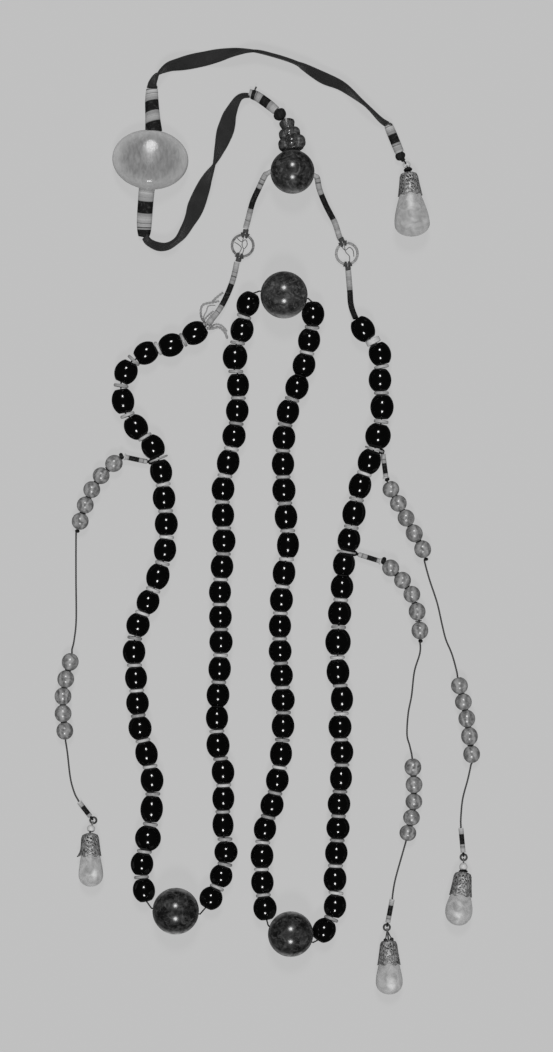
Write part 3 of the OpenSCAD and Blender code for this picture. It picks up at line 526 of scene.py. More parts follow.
def strung(node, start):
    """The beads of a node in the order of their string, with every axis turned along it."""
    left = [read_bead(solid) for solid in loose_solids(node)]
    beads = []
    last = np.array(start)
    while left:
        far = [np.linalg.norm(bead.at - last) for bead in left]
        beads.append(left.pop(int(np.argmin(far))))
        last = beads[-1].at
    ways = np.gradient(np.array([bead.at for bead in beads]), axis=0)
    for bead, way in zip(beads, ways):
        bead.axis = bead.axis * (1 if bead.axis @ way > 0 else -1)
    return beads


# Each strand and a point near the end that it starts from
STRANDS = {"left_outer": (-30.8, 98, 5), "left_inner": (-34, -195, 6),
           "right_inner": (19, 108, 6), "right_outer": (22, -206, 6)}
strand_beads = {s: strung("beads_" + s, start) for s, start in STRANDS.items()}
for s in STRANDS:
    print(s, "beads:", len(strand_beads[s]), "first:", strand_beads[s][0].at.round(1))

# %% [markdown]
# ## Black beads
# A bead is wound on a rod, so it is round across the hole, a little flat at the ends, and its
# hole has a soft lip. The outline is an oval, a short flat and the hole, turned round the axis
# into a closed skin. Cutting the hole out of a sphere would leave rough edges.


# %% Black beads, strand by strand
def holed(outside, half, bore_r, lip):
    """A closed outline: the hole, its soft lip, the outside, then the lip at the other end."""
    hole = [(bore_r, 0), (bore_r, lip - half), (bore_r + lip * 0.3, lip * 0.3 - half), (bore_r + lip, -half)]
    return hole + outside + [(radius, -place) for radius, place in hole[:0:-1]]


def barrel(r, half, face_r, bore_r, steps=19, lip=0.22):
    """Outline of an oval that is cut flat at both ends, with a hole."""
    oval = half / math.sqrt(1 - (face_r / r) ** 2)
    reach = math.asin(half / oval)
    arc = [(r * math.cos(a), oval * math.sin(a)) for a in np.linspace(-reach, reach, steps)]
    return holed(arc, half, bore_r, lip)


BEAD_FACE = 3
BEAD_BORE = 0.9
BEAD_CLOSER = 0.1
for s in STRANDS:
    maker = Maker()
    for bead in strand_beads[s]:
        outline = barrel(bead.r, bead.half + BEAD_CLOSER, BEAD_FACE, BEAD_BORE)
        maker.grid(turned(bead.at, bead.axis, outline), along=True)
    maker.piece("black_beads_" + s, black_glass, "black_glass", "beads_" + s)

# %% [markdown]
# ## Pale discs
# Between two black beads sits a thin pale disc with a rounded rim. Some are cloudier than
# others, so each gets its own tone. Their direction is the thin way of each packed disc.


# %% Pale discs
SPACER_BORE = 1.7
DISC_CLOSER = 0.1
DISC_SOFT = 0.5


def rounded_disc(r, half, bore_r, soft):
    soft = min(soft, half)
    rim = [(r - soft + soft * math.cos(a), soft - half + soft * math.sin(a))
           for a in np.linspace(-math.pi / 2, 0, 4)]
    return holed(rim + [(radius, -place) for radius, place in rim[::-1]], half, bore_r, soft)


draw = np.random.default_rng(11)
for s in STRANDS:
    maker = Maker()
    for solid in loose_solids("spacers_" + s):
        disc = read_disc(solid)
        outline = rounded_disc(disc.r, disc.half + DISC_CLOSER, SPACER_BORE, DISC_SOFT)
        maker.grid(turned(disc.at, disc.axis, outline, 36), along=True, tone=draw.random())
    maker.piece("pale_discs_" + s, pale_glass, "pale_glass", "spacers_" + s)

# %% [markdown]
# ## Large beads
# The four large beads are balls with a hole towards their neighbours. Their rim mark is painted
# light: it grows from the middle of the upper half down to the table, and is strongest on the side
# of the feet, where it stands in for the pale table shining into the glass.


# %% Large beads
LARGE_BORE = 1.2
HEAD_HOLE = (22.4, -2.7, 0)


def nearest(at, things):
    return min(things, key=lambda thing: np.linalg.norm(thing.at - at))


def ball(r, bore_r, steps=40, lip=0.3):
    """Outline of a ball with a hole."""
    reach = math.acos((bore_r + lip) / r)
    arc = [(r * math.cos(a), r * math.sin(a)) for a in np.linspace(-reach, reach, steps)[1:-1]]
    return holed(arc, r * math.sin(reach), bore_r, lip)


def painted_light_mark(rows, at, r):
    # Painted light from the pale table: strongest low on the bead and towards the feet.
    up = (rows[..., 2] - at[2]) / r
    along = (rows[..., 1] - at[1]) / r
    low = np.clip(-along, 0, 1) ** 3
    return np.clip(1 - up / (0.5 + 0.3 * low), 0, 1) * (0.35 + 0.65 * np.abs(along) + 0.8 * low)


LARGE = (("head_bead", head_glass, None), ("back_bead", back_glass, ("left_inner", "right_inner")),
         ("left_foot_bead", foot_glass, ("left_outer", "left_inner")),
         ("right_foot_bead", foot_glass, ("right_inner", "right_outer")))
large_beads = {}
for node, finish, strands in LARGE:
    low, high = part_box(node)
    at = np.array((low + high) / 2) / MM
    r = (high.z - low.z) / 2 / MM
    if strands is None:
        hole = HEAD_HOLE
    else:
        ends = [nearest(at, strand_beads[s]).at for s in strands]
        hole = (ends[1] - ends[0]) * (1, 1, 0)
    large_beads[node] = (at, r, unit(hole))
    rows = turned(at, hole, ball(r, LARGE_BORE), 72)
    maker = Maker()
    maker.grid(rows, along=True, rim=painted_light_mark(rows, at, r))
    maker.piece(node.replace("bead", "ball"), finish, "large_glass", node)

# %% [markdown]
# ## Paths and threads
# A cord follows a path with a radius at each point. The rows of a path are the ones that the
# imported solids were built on, so both lie in one place, and a smooth curve joins them. The curve
# passes each row in the direction from the row before it to the row after it.


# %% Smooth paths
def smooth(table, steps=24):
    """The table's columns at close, even steps along its path; the first three are x, y, z."""
    rows = np.array(table, float)
    step = np.diff(rows, axis=0)
    bend = np.gradient(rows, axis=0)
    if len(rows) > 2:
        bend[0] = 1.5 * step[0] - 0.5 * bend[1]
        bend[-1] = 1.5 * step[-1] - 0.5 * bend[-2]
    t = (np.arange(steps) / steps)[:, None]
    path = ((2 * t ** 3 - 3 * t ** 2 + 1) * rows[:-1, None] + (t ** 3 - 2 * t ** 2 + t) * bend[:-1, None]
            + (3 * t ** 2 - 2 * t ** 3) * rows[1:, None] + (t ** 3 - t ** 2) * bend[1:, None])
    return np.concatenate([path.reshape(-1, rows.shape[1]), rows[-1:]])


def spaced(path, step):
    """The path's columns again, a fixed step of length apart."""
    path = np.asarray(path, float)
    lengths = np.linalg.norm(np.diff(path[:, :3], axis=0), axis=1)
    place = np.concatenate([[0], np.cumsum(lengths)])
    wanted = np.linspace(0, place[-1], max(2, int(place[-1] / step) + 1))
    return wanted, np.stack([np.interp(wanted, place, column) for column in path.T], 1)


def across_path(points):
    """Two directions across the path at each of its points."""
    way = unit(np.gradient(points, axis=0))
    side = unit(np.cross(way, (0, 0, 1)))
    return side, np.cross(side, way)


def tube(points, radii, sides=12):
    return rings(points, *across_path(points), np.reshape(radii, (-1, 1)), sides=sides)


def hoop(at, normal, r, wire_r):
    """Rings of a wire hoop."""
    side, top, normal = axes_of(normal)
    out = rings((0, 0, 0), side, top, 1, sides=48)[0]
    return rings(at + r * out, out, -normal, wire_r, sides=8)


# %% [markdown]
# A wound cord has a ridge for each turn of its thread, each turn has its own grey, and the dark
# bands fade out a little over the turns beside them. A thread is made of twisted plies, which
# are thin tubes that circle round its path. No thread sinks into the table.


# %% Wound cords and twisted threads
TURN = 0.34
RIDGE = 0.07
SMEAR = 0.35


def wind(maker, table, bands=(), sides=20, lean=0):
    """A cord wound with thread. Columns: x, y, z, half width, half height. Bands: from, to in mm."""
    place, path = spaced(smooth(table), TURN / 5)
    side, top = across_path(path[:, :3])
    angles = circle(sides)
    spot = place[:, None] - lean * path[:, 3:4] * np.cos(angles)
    phase = spot / TURN - angles / math.tau
    swell = RIDGE * (np.abs(np.cos(math.pi * phase)) - 1)
    number = np.floor(phase + 0.5).astype(int) + 8
    count = number.max() + 1
    chance = np.random.default_rng(3)
    every_fifth = np.arange(0, count + 5, 5)
    slow = np.interp(np.arange(count), every_fifth, chance.random(len(every_fifth)))
    tones = slow * 0.6 + chance.random(count) * 0.4
    tones[chance.random(count) < 0.07] = -0.4
    dark = np.zeros_like(spot)
    for start, end in bands:
        away = np.maximum(0, np.maximum(start - spot, spot - end))
        dark = np.maximum(dark, np.where(away > 0, SMEAR * np.exp(-away / 1.8), 1))
    rows = rings(path[:, :3], side, top, path[:, 3:4] + swell, path[:, 4:5] + swell, sides)
    maker.grid(rows, caps=True, tone=tones[number], dark=dark)
    print("wound length in mm:", round(place[-1], 1))


def twist(maker, path, r, plies=2, pitch=2.4, sides=6, closed=False, tone=0.5, dark=0):
    """A thread of twisted plies along a path of close points."""
    place, path = spaced(path, pitch / 8)
    path[:, 2] = np.maximum(path[:, 2], r)
    side, top = across_path(path)
    turns = place / pitch
    if closed:
        turns = place / place[-1] * round(place[-1] / pitch)
    ply_r = r * 0.55
    for k in range(plies):
        angle = (turns + k / plies)[:, None] * math.tau
        off = (r - ply_r) * (np.cos(angle) * side + np.sin(angle) * top)
        maker.grid(tube(path + off, ply_r, sides), caps=True, tone=tone, dark=dark)


# %% [markdown]
# ## Neck cords
# Four short cords join the head bead, two wire rings and the strands. Each is pale thread wound
# close round a core, with one long dark stretch.

# %% Neck cords
CORD_R = 1.45
RING_AT = {"left": (-12.7, 137.5), "right": (39.5, 133.5)}
RING_Z = 1.75
RING_R = 5.35
# Rows of each cord: x, y, z and, where it is thinner, its radius; then where its dark stretch is
NECK = {
    "left_upper": ([(2.4, 174.6, 10.6, 1.0), (-0.4, 172.8, 10.3, 1.2), (-1.6, 171.8, 9.9), (-4.6, 165.6, 8.6),
                    (-7.7, 158.8, 6.6), (-10.1, 150, 3), (-11.2, 146.2, 1.9)], (12, 23)),
    "left_lower": ([(-15.6, 129.2, 1.75), (-18.2, 118.5, 1.7), (-23.4, 107, 3), (-30.2, 98, 5.3)],
                   (11.4, 23.4)),
    "right_upper": ([(22.0, 172.6, 10.6, 1.0), (23.6, 171.6, 10.3, 1.2), (24.6, 170.4, 9.9),
                     (25.8, 164.8, 8.8), (29, 157.2, 6.5), (33.4, 149, 3), (35.6, 142.4, 1.9),
                     (36.3, 140.9, 1.9)], (11.8, 25.7)),
    "right_lower": ([(40.2, 125, 1.75), (41, 115, 1.7), (41.6, 107.5, 3), (43.8, 101, 5.2)], (10, 40))}
for name, (rows, band) in NECK.items():
    maker = Maker()
    rows = [(*row, CORD_R)[:4] for row in rows]
    wind(maker, [(x, y, z, r, r) for x, y, z, r in rows], [band])
    maker.piece("wound_neck_cord_" + name, neck_silk, "wound_cord", "neck_cord_" + name)

# %% [markdown]
# Each ring is wire of three twisted strands. The dark lashings that tie the cords to it are
# coils: two short ones on the ring beside each cord, and one round the cord's end.


# %% Wire rings and lashings
LASHING_R = 0.36
LASHING_AWAY = 11
LASHING_SPAN = 15
RING_WIRE_R = 0.66


def circle_path(at, r, z, start=0, turn=360, steps=96):
    angles = np.radians(start + np.linspace(0, turn, steps + 1))
    return np.stack([at[0] + r * np.cos(angles), at[1] + r * np.sin(angles), np.full(steps + 1, z)], 1)


def coil(maker, path, r, pitch):
    """Thread wound in a coil round a path."""
    place, path = spaced(path, pitch / 14)
    side, top = across_path(path)
    angle = place[:, None] / pitch * math.tau
    out = np.cos(angle) * side + np.sin(angle) * top
    line = path + r * out
    third = np.cross(unit(np.gradient(line, axis=0)), out)
    rows = rings(line, out, third, LASHING_R, sides=6)
    maker.grid(rows, caps=True, tone=np.random.default_rng(5).random())


lashings = Maker()
for side_name, at in RING_AT.items():
    maker = Maker()
    twist(maker, circle_path(at, RING_R, RING_Z), RING_WIRE_R, plies=3, pitch=3.6, sides=8, closed=True)
    maker.piece("wire_ring_" + side_name, ring_metal[side_name], "wire_metal", "neck_ring_" + side_name)
    for part, number in (("_upper", 5), ("_lower", 1)):
        row = NECK[side_name + part][0][number]
        way = unit((row[0] - at[0], row[1] - at[1], 0))
        toward = math.degrees(math.atan2(way[1], way[0])) - LASHING_SPAN / 2
        for side in (-1, 1):
            arc = circle_path(at, RING_R, RING_Z, toward + side * LASHING_AWAY, LASHING_SPAN, 24)
            coil(lashings, arc, 1.08, 0.62)
        collar = np.array([(*at, RING_Z) + (RING_R + out) * way for out in (1.3, 1.8, 2.4, 2.9)])
        coil(lashings, collar, 1.1, 0.5)
        lashings.grid(tube(collar, 1.1), caps=True, tone=0.5)
lashings.piece("ring_lashings", lashing_thread, "dark_cord", "neck_lashings")

# %% [markdown]
# The silk is old, and threads have come loose: thin ones inside the two rings, and a frayed
# end with loops and a twisted tail where the left cord meets its first bead. Each is a curve
# through a few points. They are separate pieces, so the cords under them stay whole.

# %% Loose threads
def loose_thread(maker, points, r=0.2, pitch=1.6, tone=0.5, dark=0.0):
    """A thin thread along a smooth curve through a few points."""
    twist(maker, smooth(points, 12), r, pitch=pitch, sides=5, tone=tone, dark=dark)


RING_STRAYS = (
    ((-15.4, 141.2, 2.2), (-13.2, 139.4, 2.4), (-11.3, 140.4, 2.3), (-10.4, 138.2, 2.1), (-11.8, 135.8, 2)),
    ((-14.6, 133.6, 2.2), (-13.4, 136.4, 2.3), (-15.4, 138.4, 2.2), (-16.8, 139, 2.1)),
    ((-12.1, 142, 2.3), (-13, 138, 2.2), (-12.2, 135.4, 2.1), (-13.2, 133, 2.2)),
    ((36.8, 137.4, 2.2), (38.6, 135.2, 2.4), (40.8, 136.6, 2.3), (42.6, 135, 2.1), (43, 132, 2)),
    ((38.4, 138.2, 2.3), (38.8, 134.6, 2.2), (40.8, 132, 2.1), (40.6, 128.8, 2.2)))
# Each frayed thread: its radius, then the points of its curve
FRAY = (
    (0.65, ((-22.6, 113.9, 1.6), (-25.4, 111.8, 1.2), (-27.2, 110.2, 0.8), (-28, 108.8, 0.6))),
    (0.65, ((-24.6, 109.6, 2.6), (-27.8, 109, 1.4), (-31, 108.5, 0.8), (-33, 107.4, 0.5), (-33.7, 104.6, 0.5),
            (-33.3, 101.4, 1), (-32, 99.4, 2.4), (-30.4, 97.6, 4))),
    (0.35, ((-26.4, 107.4, 2.6), (-29.8, 107.2, 1.2), (-30.9, 104.6, 0.8), (-32.2, 101.8, 1.4),
            (-31.4, 98, 3.6))),
    (0.5, ((-26.6, 103.6, 4.2), (-29.6, 100.6, 5.2), (-31.6, 97.2, 5.4))),
    (0.5, ((-25.8, 102.2, 3.6), (-28.2, 98.8, 4.6), (-30, 95.4, 4.8))),
    (0.5, ((-26.4, 101.4, 2.4), (-28, 98.6, 3), (-29.4, 96, 3.2))),
    (0.5, ((-27.4, 104.6, 3), (-30.8, 101.6, 3.2), (-32.6, 98.4, 3.4))),
    (0.5, ((-27.8, 103, 4), (-30.4, 99.4, 6), (-31, 96.8, 6.6))),
    (0.5, ((-29.6, 95.4, 3), (-26.6, 98, 1.6), (-23.8, 97.8, 0.8), (-22, 96.4, 0.8), (-20.6, 94.6, 0.8))),
    (0.75, ((-30.4, 96, 4), (-28, 96, 2.2), (-25, 96.8, 0.9), (-22.8, 95.6, 0.8), (-21.2, 93.4, 0.8),
            (-20.4, 91, 0.8))))
maker = Maker()
for points in RING_STRAYS:
    loose_thread(maker, points, 0.26, tone=0.1, dark=0.8)
maker.piece("stray_ring_threads", pale_thread, "pale_thread")
maker = Maker()
for r, points in FRAY:
    loose_thread(maker, points, r, pitch=5 * r, tone=0.45, dark=0.45)
maker.piece("frayed_cord_end", pale_thread, "pale_thread")

# %% [markdown]
# ## The ribbon
# The ribbon is one flat silk band that turns over as it goes, so it shows wide, then its edge.
# Its rows give the place, the width and the roll. The band is a thin closed skin with rounded
# edges, and the marks warp and weft carry the weave along and across it.

# %% Ribbon
RIBBON_LOWER = [
    (-9.6, 212.7, 2.1, 4.4, -60), (-14.6, 211.3, 2, 6.6, -58), (-18.8, 203.8, 0, 8, -34),
    (-20.5, 198, 0, 8.5, -12), (-22.3, 192.3, 0, 8.5, 22), (-24.1, 186.5, 0, 8.5, 50),
    (-26.8, 178.5, 0, 8.5, 90), (-30.9, 170, 0, 8.5, 136), (-35.3, 159.4, 0, 8.5, 175),
    (-38.6, 151, 0, 8.5, 222), (-42.3, 144, 0, 8.5, 240), (-45.8, 139.7, 0, 8.5, 256),
    (-50.3, 137, 0, 8.5, 252), (-55, 136.9, 0, 8.4, 245), (-59.4, 139, 1, 7, 243),
    (-61.6, 142, 2, 5, 222)]
RIBBON_UPPER = [
    (-58.1, 216.4, 1.8, 5.4, 0), (-57.6, 219.2, 1, 5.6, 38), (-56.1, 221.8, 0, 7, 66),
    (-54.4, 223.8, 0, 8, 88), (-49.6, 226.9, 0, 8, 118), (-43, 228.6, 0, 8, 140),
    (-33, 231, 0, 7.4, 176), (-24.5, 232.8, 0, 7.6, 205), (-15.5, 234.4, 0, 8, 238),
    (-6.5, 234.7, 0, 8, 264), (3, 232.5, 0, 8, 268), (11, 230, 0, 8, 269), (15, 228.3, 0, 8, 272),
    (18, 226.7, 0, 8, 285),
    (27.5, 221.5, 0, 7.8, 313), (37, 217.2, 0, 7.8, 300), (46.6, 209.7, 0, 8, 273),
    (51, 205.8, 0, 7.6, 270), (56.2, 200.6, 0, 6, 282), (59.8, 198.2, 2, 4.4, 300)]
RIBBON_T = 0.8


def ribbon(name, table, node):
    place, path = spaced(smooth(table), 0.5)
    half, roll = path[:, 3:4] / 2, np.radians(path[:, 4:])
    body = (RIBBON_T + 0.7 * np.sin(roll) ** 4) / 2
    rest = half * abs(np.sin(roll)) + body * abs(np.cos(roll)) + 0.1
    points = np.hstack([path[:, :2], np.maximum(rest, path[:, 2:3])])
    side, top = across_path(points)
    flat = np.cos(roll) * side + np.sin(roll) * top
    thick = np.cos(roll) * top - np.sin(roll) * side
    across = np.linspace(-1, 1, 17)
    edge = np.clip((1 - np.abs(across)) * 6, 0, 1) ** 0.5
    across, edge = np.append(across, across[-2:0:-1]), np.append(edge, -edge[-2:0:-1])
    rows = (points[:, None] + (half * across)[..., None] * flat[:, None]
            + (body * edge)[..., None] * thick[:, None])
    maker = Maker()
    maker.grid(rows, caps=True, warp=place[:, None], weft=half * across)
    maker.piece(name, ribbon_weave, "ribbon_weave", node)
    print("ribbon length in mm:", round(place[-1], 1))


ribbon("silk_ribbon_lower", RIBBON_LOWER, "ribbon_lower")
ribbon("silk_ribbon_upper", RIBBON_UPPER, "ribbon_upper")
maker = Maker()
loose_thread(maker, ((58.6, 197.6, 3), (60.2, 198.4, 4.2), (61.2, 198.4, 4.2), (62, 198, 3.6)), 0.55,
             tone=0.6)
loose_thread(maker, ((-6.6, 215.2, 3.2), (-6.2, 216.2, 3.4), (-5.9, 216.9, 3.2)), 0.5, tone=0.9)
maker.piece("ribbon_end_threads", lashing_thread, "dark_cord")

# %% [markdown]
# ## Bound ends of the ribbon
# Where the ribbon meets the stupa, the oval bead and its drop, its end is wound with pale thread
# and dark bands. The four ends share one way of making, with rows for the shape and a short list
# of where the dark bands start and end, in millimetres from the first row.

# %% Bindings
BINDINGS = {
    "binding_stupa": ([(-9.4, 213.8, 2.1, 2.2, 1.8), (-8.4, 213.5, 2.2, 2.2, 1.9), (-7.2, 213, 2.3, 2.5, 2.1),
                       (-4.6, 211.7, 2.5, 2.5, 2.2), (0.3, 208.1, 3.3, 2.5, 2.1), (3.9, 205, 4.2, 2.3, 2.1)],
                      [(1.3, 3.2), (6.9, 11.6)]),
    "binding_plaque_below": ([(-60.5, 165.9, 7, 4, 2.4), (-61.2, 159, 5.6, 3.9, 2.3),
                              (-61.9, 150, 2.9, 3.8, 2), (-62.1, 144.6, 2, 3.4, 1.8),
                              (-62.4, 141.9, 1.9, 2.6, 1.6)], [(6.4, 12.5), (21, 27)]),
    "binding_plaque_above": ([(-57.1, 194.3, 7.2, 4.3, 2.6), (-57.7, 201.6, 5.4, 3.7, 2.2),
                              (-58.2, 209.6, 2.8, 3.4, 1.9), (-58.1, 215.9, 1.8, 2.9, 1.7)],
                             [(-3, 4.7), (10.3, 16.3)]),
    "binding_drop": ([(60.3, 197.7, 2, 2.1, 1.8), (61.6, 194.6, 2.2, 2.4, 2.1), (65.2, 185.8, 2.5, 2.4, 2.2),
                      (65.7, 184.6, 2.5, 2.2, 2.2)], [(5, 9.8)])}
# How far the turns lean, as a share of the half width
BAND_LEAN = {"binding_plaque_above": 0.2, "binding_stupa": 0.1}
for node, (table, bands) in BINDINGS.items():
    maker = Maker()
    wind(maker, table, bands, sides=24, lean=BAND_LEAN.get(node, 0))
    maker.piece("wound_" + node, wound_cord, "wound_cord", node)

# %% [markdown]
# ## Oval bead
# The oval bead is a flat pebble of grey stone, bored along its short way. It is turned round the
# hole like the others and then stretched across, which keeps the lips of the hole clean.

# %% Oval bead
PLAQUE = {"at": (-58.8, 180.1, 7), "w": 38, "l": 29.8, "t": 14, "lean": -4.5}
CROWN_FULL = 3.2
CROWN_LEAN = 0.17


def pebble(sides=96, steps=64):
    """An oval pebble with a hole along y; its crown is full, and leans a little towards +y."""
    rows = turned((0, 0, 0), (0, 1, 0), ball(1, 0.07, steps, lip=0.02), sides)
    x, y, z = rows[..., 0], rows[..., 1], rows[..., 2]
    full = (1 - np.clip(np.abs(y), 0, 0.999) ** CROWN_FULL) ** (1 / CROWN_FULL)
    round_r = np.sqrt(np.clip(1 - y ** 2, 1e-4, None))
    z = z * (1 + (full / round_r - 1) * np.abs(z) / round_r)
    z = z * PLAQUE["t"] / 2
    y = y * PLAQUE["l"] / 2
    z = np.where(z > 0, z * (1 - CROWN_LEAN * y / (PLAQUE["t"] / 2)), z)
    return np.stack([x * PLAQUE["w"] / 2, y, z], -1)


lean = math.radians(PLAQUE["lean"])
spin = np.array([[math.cos(lean), -math.sin(lean), 0], [math.sin(lean), math.cos(lean), 0], [0, 0, 1]])
maker = Maker()
rows = pebble()
# Painted light: the rim mark grows towards the outline, where the sides would fall into shade.
out = np.hypot(rows[..., 0] * 2 / PLAQUE["w"], rows[..., 1] * 2 / PLAQUE["l"])
maker.grid(rows @ spin.T + PLAQUE["at"], along=True, rim=np.clip(out * 2 - 1, 0, 1) ** 2)
maker.piece("oval_stone", plaque_stone, "plaque_stone", "plaque_bead")

# %% [markdown]
# ## Counting beads
# The small beads are made as the black ones are. Each one also carries its own number between
# 0 and 1, by which the marbling is shifted.

# %% Counting beads
COUNT_FACE = 1.4
COUNT_BORE = 0.9
# Strand and join of the washer, far end of the upper sleeve, near end of the lower one, drop
STRINGS = {"left": ("left_outer", 6, (-71.8, 31.6, 3.6), (-94.6, -141.4, 1.4), "left_drop"),
           "middle": ("right_outer", 14, (56.4, -20.7, 3.6), (62.2, -190.3, 1.4), "middle_drop"),
           "right": ("right_outer", 18, (59.1, 21, 3.6), (96.7, -154.6, 1.4), "right_drop")}

count_beads = {}
for side_name, (_, _, far, _, _) in STRINGS.items():
    count_beads[side_name] = strung(side_name + "_string_beads", far)
    maker = Maker()
    for bead in count_beads[side_name]:
        outline = barrel(bead.r, bead.half, COUNT_FACE, COUNT_BORE)
        maker.grid(turned(bead.at, bead.axis, outline, 36), along=True, own=draw.random() * 0.5)
    maker.piece("grey_beads_" + side_name, grey_glass, "grey_glass", side_name + "_string_beads")

# %% [markdown]
# ## Main thread
# One thread runs through each strand. It only shows where two beads meet with no disc between
# them and beside the large beads, but it is made whole, as it is on the real necklace. Where two
# beads nearly touch, a dark collar of thread fills the narrow gap.


# %% Main thread
def bead_ends(beads, out):
    """The points just outside the two faces of each bead, in the order of the string."""
    return [bead.at + side * (bead.half + out) * bead.axis for bead in beads for side in (-1, 1)]


def through(ball_name, side):
    """From just inside the hole of a large bead to just outside it, on one side."""
    at, r, hole = large_beads[ball_name]
    return [at + side * 0.3 * hole, at + side * (r + 0.6) * hole]


THREAD_R = 0.42
COLLAR_GAP = 0.9
# The dark collar's outline: radius and place
COLLAR = [(THREAD_R, -0.3), (2.8, -0.3), (3.1, 0), (2.8, 0.3), (THREAD_R, 0.3)]
RUNS = {"left_outer": ([(-30.8, 98, 5.3)], through("left_foot_bead", -1)[::-1]),
        "left_inner": (through("left_foot_bead", 1), through("back_bead", -1)[::-1]),
        "right_inner": (through("back_bead", 1), through("right_foot_bead", -1)[::-1]),
        "right_outer": (through("right_foot_bead", 1), [(43.7, 101, 5.3)])}
for s in STRANDS:
    start, end = RUNS[s]
    path = [*start, *bead_ends(strand_beads[s], 0.2), *end]
    maker = Maker()
    twist(maker, path, THREAD_R, dark=0.8)
    for a, b in zip(strand_beads[s], strand_beads[s][1:]):
        gap = np.linalg.norm(b.at - a.at) - a.half - b.half
        if gap < COLLAR_GAP:
            maker.grid(turned((a.at + b.at) / 2, b.at - a.at, COLLAR, 24), along=True, dark=1)
            print(s, "bare join, gap:", round(gap, 2))
    maker.piece("main_thread_" + s, grey_thread, "pale_thread", "thread_" + s)

# %% [markdown]
# ## Washers
# A counting string hangs from a washer on the strand. The washer is a turned ring like the
# discs. The loop of the string goes through a hole in its rim, on the side of the string.

# %% Washers
WASHER_R = 4.8
EYE_R = 0.95
DROOP = math.radians(25)
washers = [read_disc(solid) for solid in loose_solids("string_washers")]
maker = Maker()
hooks = {}
for side_name, (s, join, far, _, _) in STRINGS.items():
    washer = nearest((strand_beads[s][join].at + strand_beads[s][join + 1].at) / 2, washers)
    toward = far - washer.at
    toward[2] = -math.tan(DROOP) * math.hypot(toward[0], toward[1])
    toward = across_of(toward, washer.axis)
    hooks[side_name] = (washer.at + (WASHER_R - 0.25) * toward, toward, washer.axis)
    outline = rounded_disc(WASHER_R, washer.half, SPACER_BORE, 0.3)
    maker.grid(turned(washer.at, washer.axis, outline, 48), along=True)
maker.piece("tied_washers", washer_metal, "washer_metal", "string_washers")

# %% [markdown]
# ## Upper sleeves
# The first stretch of a counting string is a sleeve, wound as the neck cords are, with one dark
# band. A flange of thread closes its far end, and a dark loop ties its near end to the washer.

# %% Upper sleeves
SLEEVE_R = 1.25
UPPER_BANDS = {"left": (2.2, 7.4), "middle": (2.0, 7.0), "right": (2.2, 7.4)}


def sleeve(name, start, end, band, node, eye, flange=1.35):
    """A wound sleeve from start to end, with a dark band, and a dark loop beyond its end."""
    maker = Maker()
    wind(maker, [(*start, SLEEVE_R, SLEEVE_R), (*end, SLEEVE_R, SLEEVE_R)], [band], sides=16)
    way = unit(end - start)
    ring = [(0.4, -0.2), (flange - 0.2, -0.2), (flange, 0.1), (flange - 0.2, 0.5), (0.4, 0.5)]
    maker.grid(turned(start, way, ring, 20), along=True, tone=0.9)
    eye_at, eye_normal = eye
    maker.grid(hoop(eye_at, eye_normal, EYE_R, 0.5), along=True, dark=1, tone=0.5)
    rope = np.linspace(end, eye_at + unit(end - eye_at) * EYE_R, 8)
    maker.grid(tube(rope, 0.75, 10), caps=True, dark=1, tone=0.5)
    maker.piece(name, wound_cord, "wound_cord", node)


for side_name, (_, _, far, _, _) in STRINGS.items():
    eye_at, toward, washer_axis = hooks[side_name]
    neck_at = eye_at + EYE_R * toward
    near = neck_at + 1.3 * unit(far - neck_at)
    hooks[side_name] = (*hooks[side_name], near)
    sleeve("upper_sleeve_" + side_name, far, near, UPPER_BANDS[side_name],
           side_name + "_string_sleeve_upper", (eye_at, np.cross(toward, washer_axis)), 1.75)

# %% [markdown]
# ## Drops
# Each drop hangs from a small ring: a pierced cap with an eye on top, and a pear-shaped stone
# in its mouth. Their places come from a short table, and all four are made by one recipe.

# %% Drops: places and axes
RING_TUBE = 0.3
LINK_R = 1.55
DROP_EYE_R = 0.9
# Ring x, y, z, cap top x, y, foot x, y, cap length, shoulder, mouth and stone radius,
# distance of the widest place from the cap top, length of the bead on the post
DROPS = {"ribbon_drop": (69.4, 177.9, 3.6, 70.3, 174.2, 72.4, 141.5, 11.7, 4.6, 5.9, 8.8, 26.7, 0),
         "left_drop": (-87.5, -150.4, 2.6, -89.1, -156.5, -88.4, -183.3, 11, 4.4, 5.2, 6.1, 21, 3),
         "middle_drop": (59.5, -204, 2.6, 60.3, -209.9, 60.7, -237.2, 12, 4.3, 5.6, 6.7, 21.2, 0),
         "right_drop": (98, -168.9, 2.6, 97.7, -175.8, 94.5, -202.7, 11.7, 4.5, 5.5, 6.8, 19.8, 3.6)}


def drop_places(row):
    cap_l, shoulder, mouth, stone, widest, post_bead = row[7:]
    ring = np.array(row[:3])
    top = np.array([row[3], row[4], shoulder + 0.1])
    run = np.subtract(row[5:7], row[3:5])
    length = math.hypot(*run)
    axis = unit((*run, (stone - shoulder) * length / widest))
    way = unit(top - ring)
    side = unit(np.cross(way, (0, 0, 1)))
    return SimpleNamespace(ring=ring, top=top, axis=axis, length=length, way=way, side=side,
                           normal=np.cross(side, way), cap_l=cap_l, shoulder=shoulder, mouth=mouth,
                           stone=stone, widest=widest, post_bead=post_bead)


def eye_on(drop, start):
    """Middle, outer end and normal of an eye that joins the ring from a starting point."""
    toward = across_of(start - drop.ring, drop.normal)
    at = drop.ring + LINK_R * toward
    return at, at + DROP_EYE_R * toward, np.cross(toward, drop.normal)


drops = {name: drop_places(row) for name, row in DROPS.items()}

# %% [markdown]
# The cap is thin metal, pierced in scrolls. A grid of points is wrapped round the axis, and the
# cells that fall in an opening are left out. A wave that bends another wave draws the scrolls.
# A Solidify modifier then gives the sheet its thickness, so the openings have real edges.

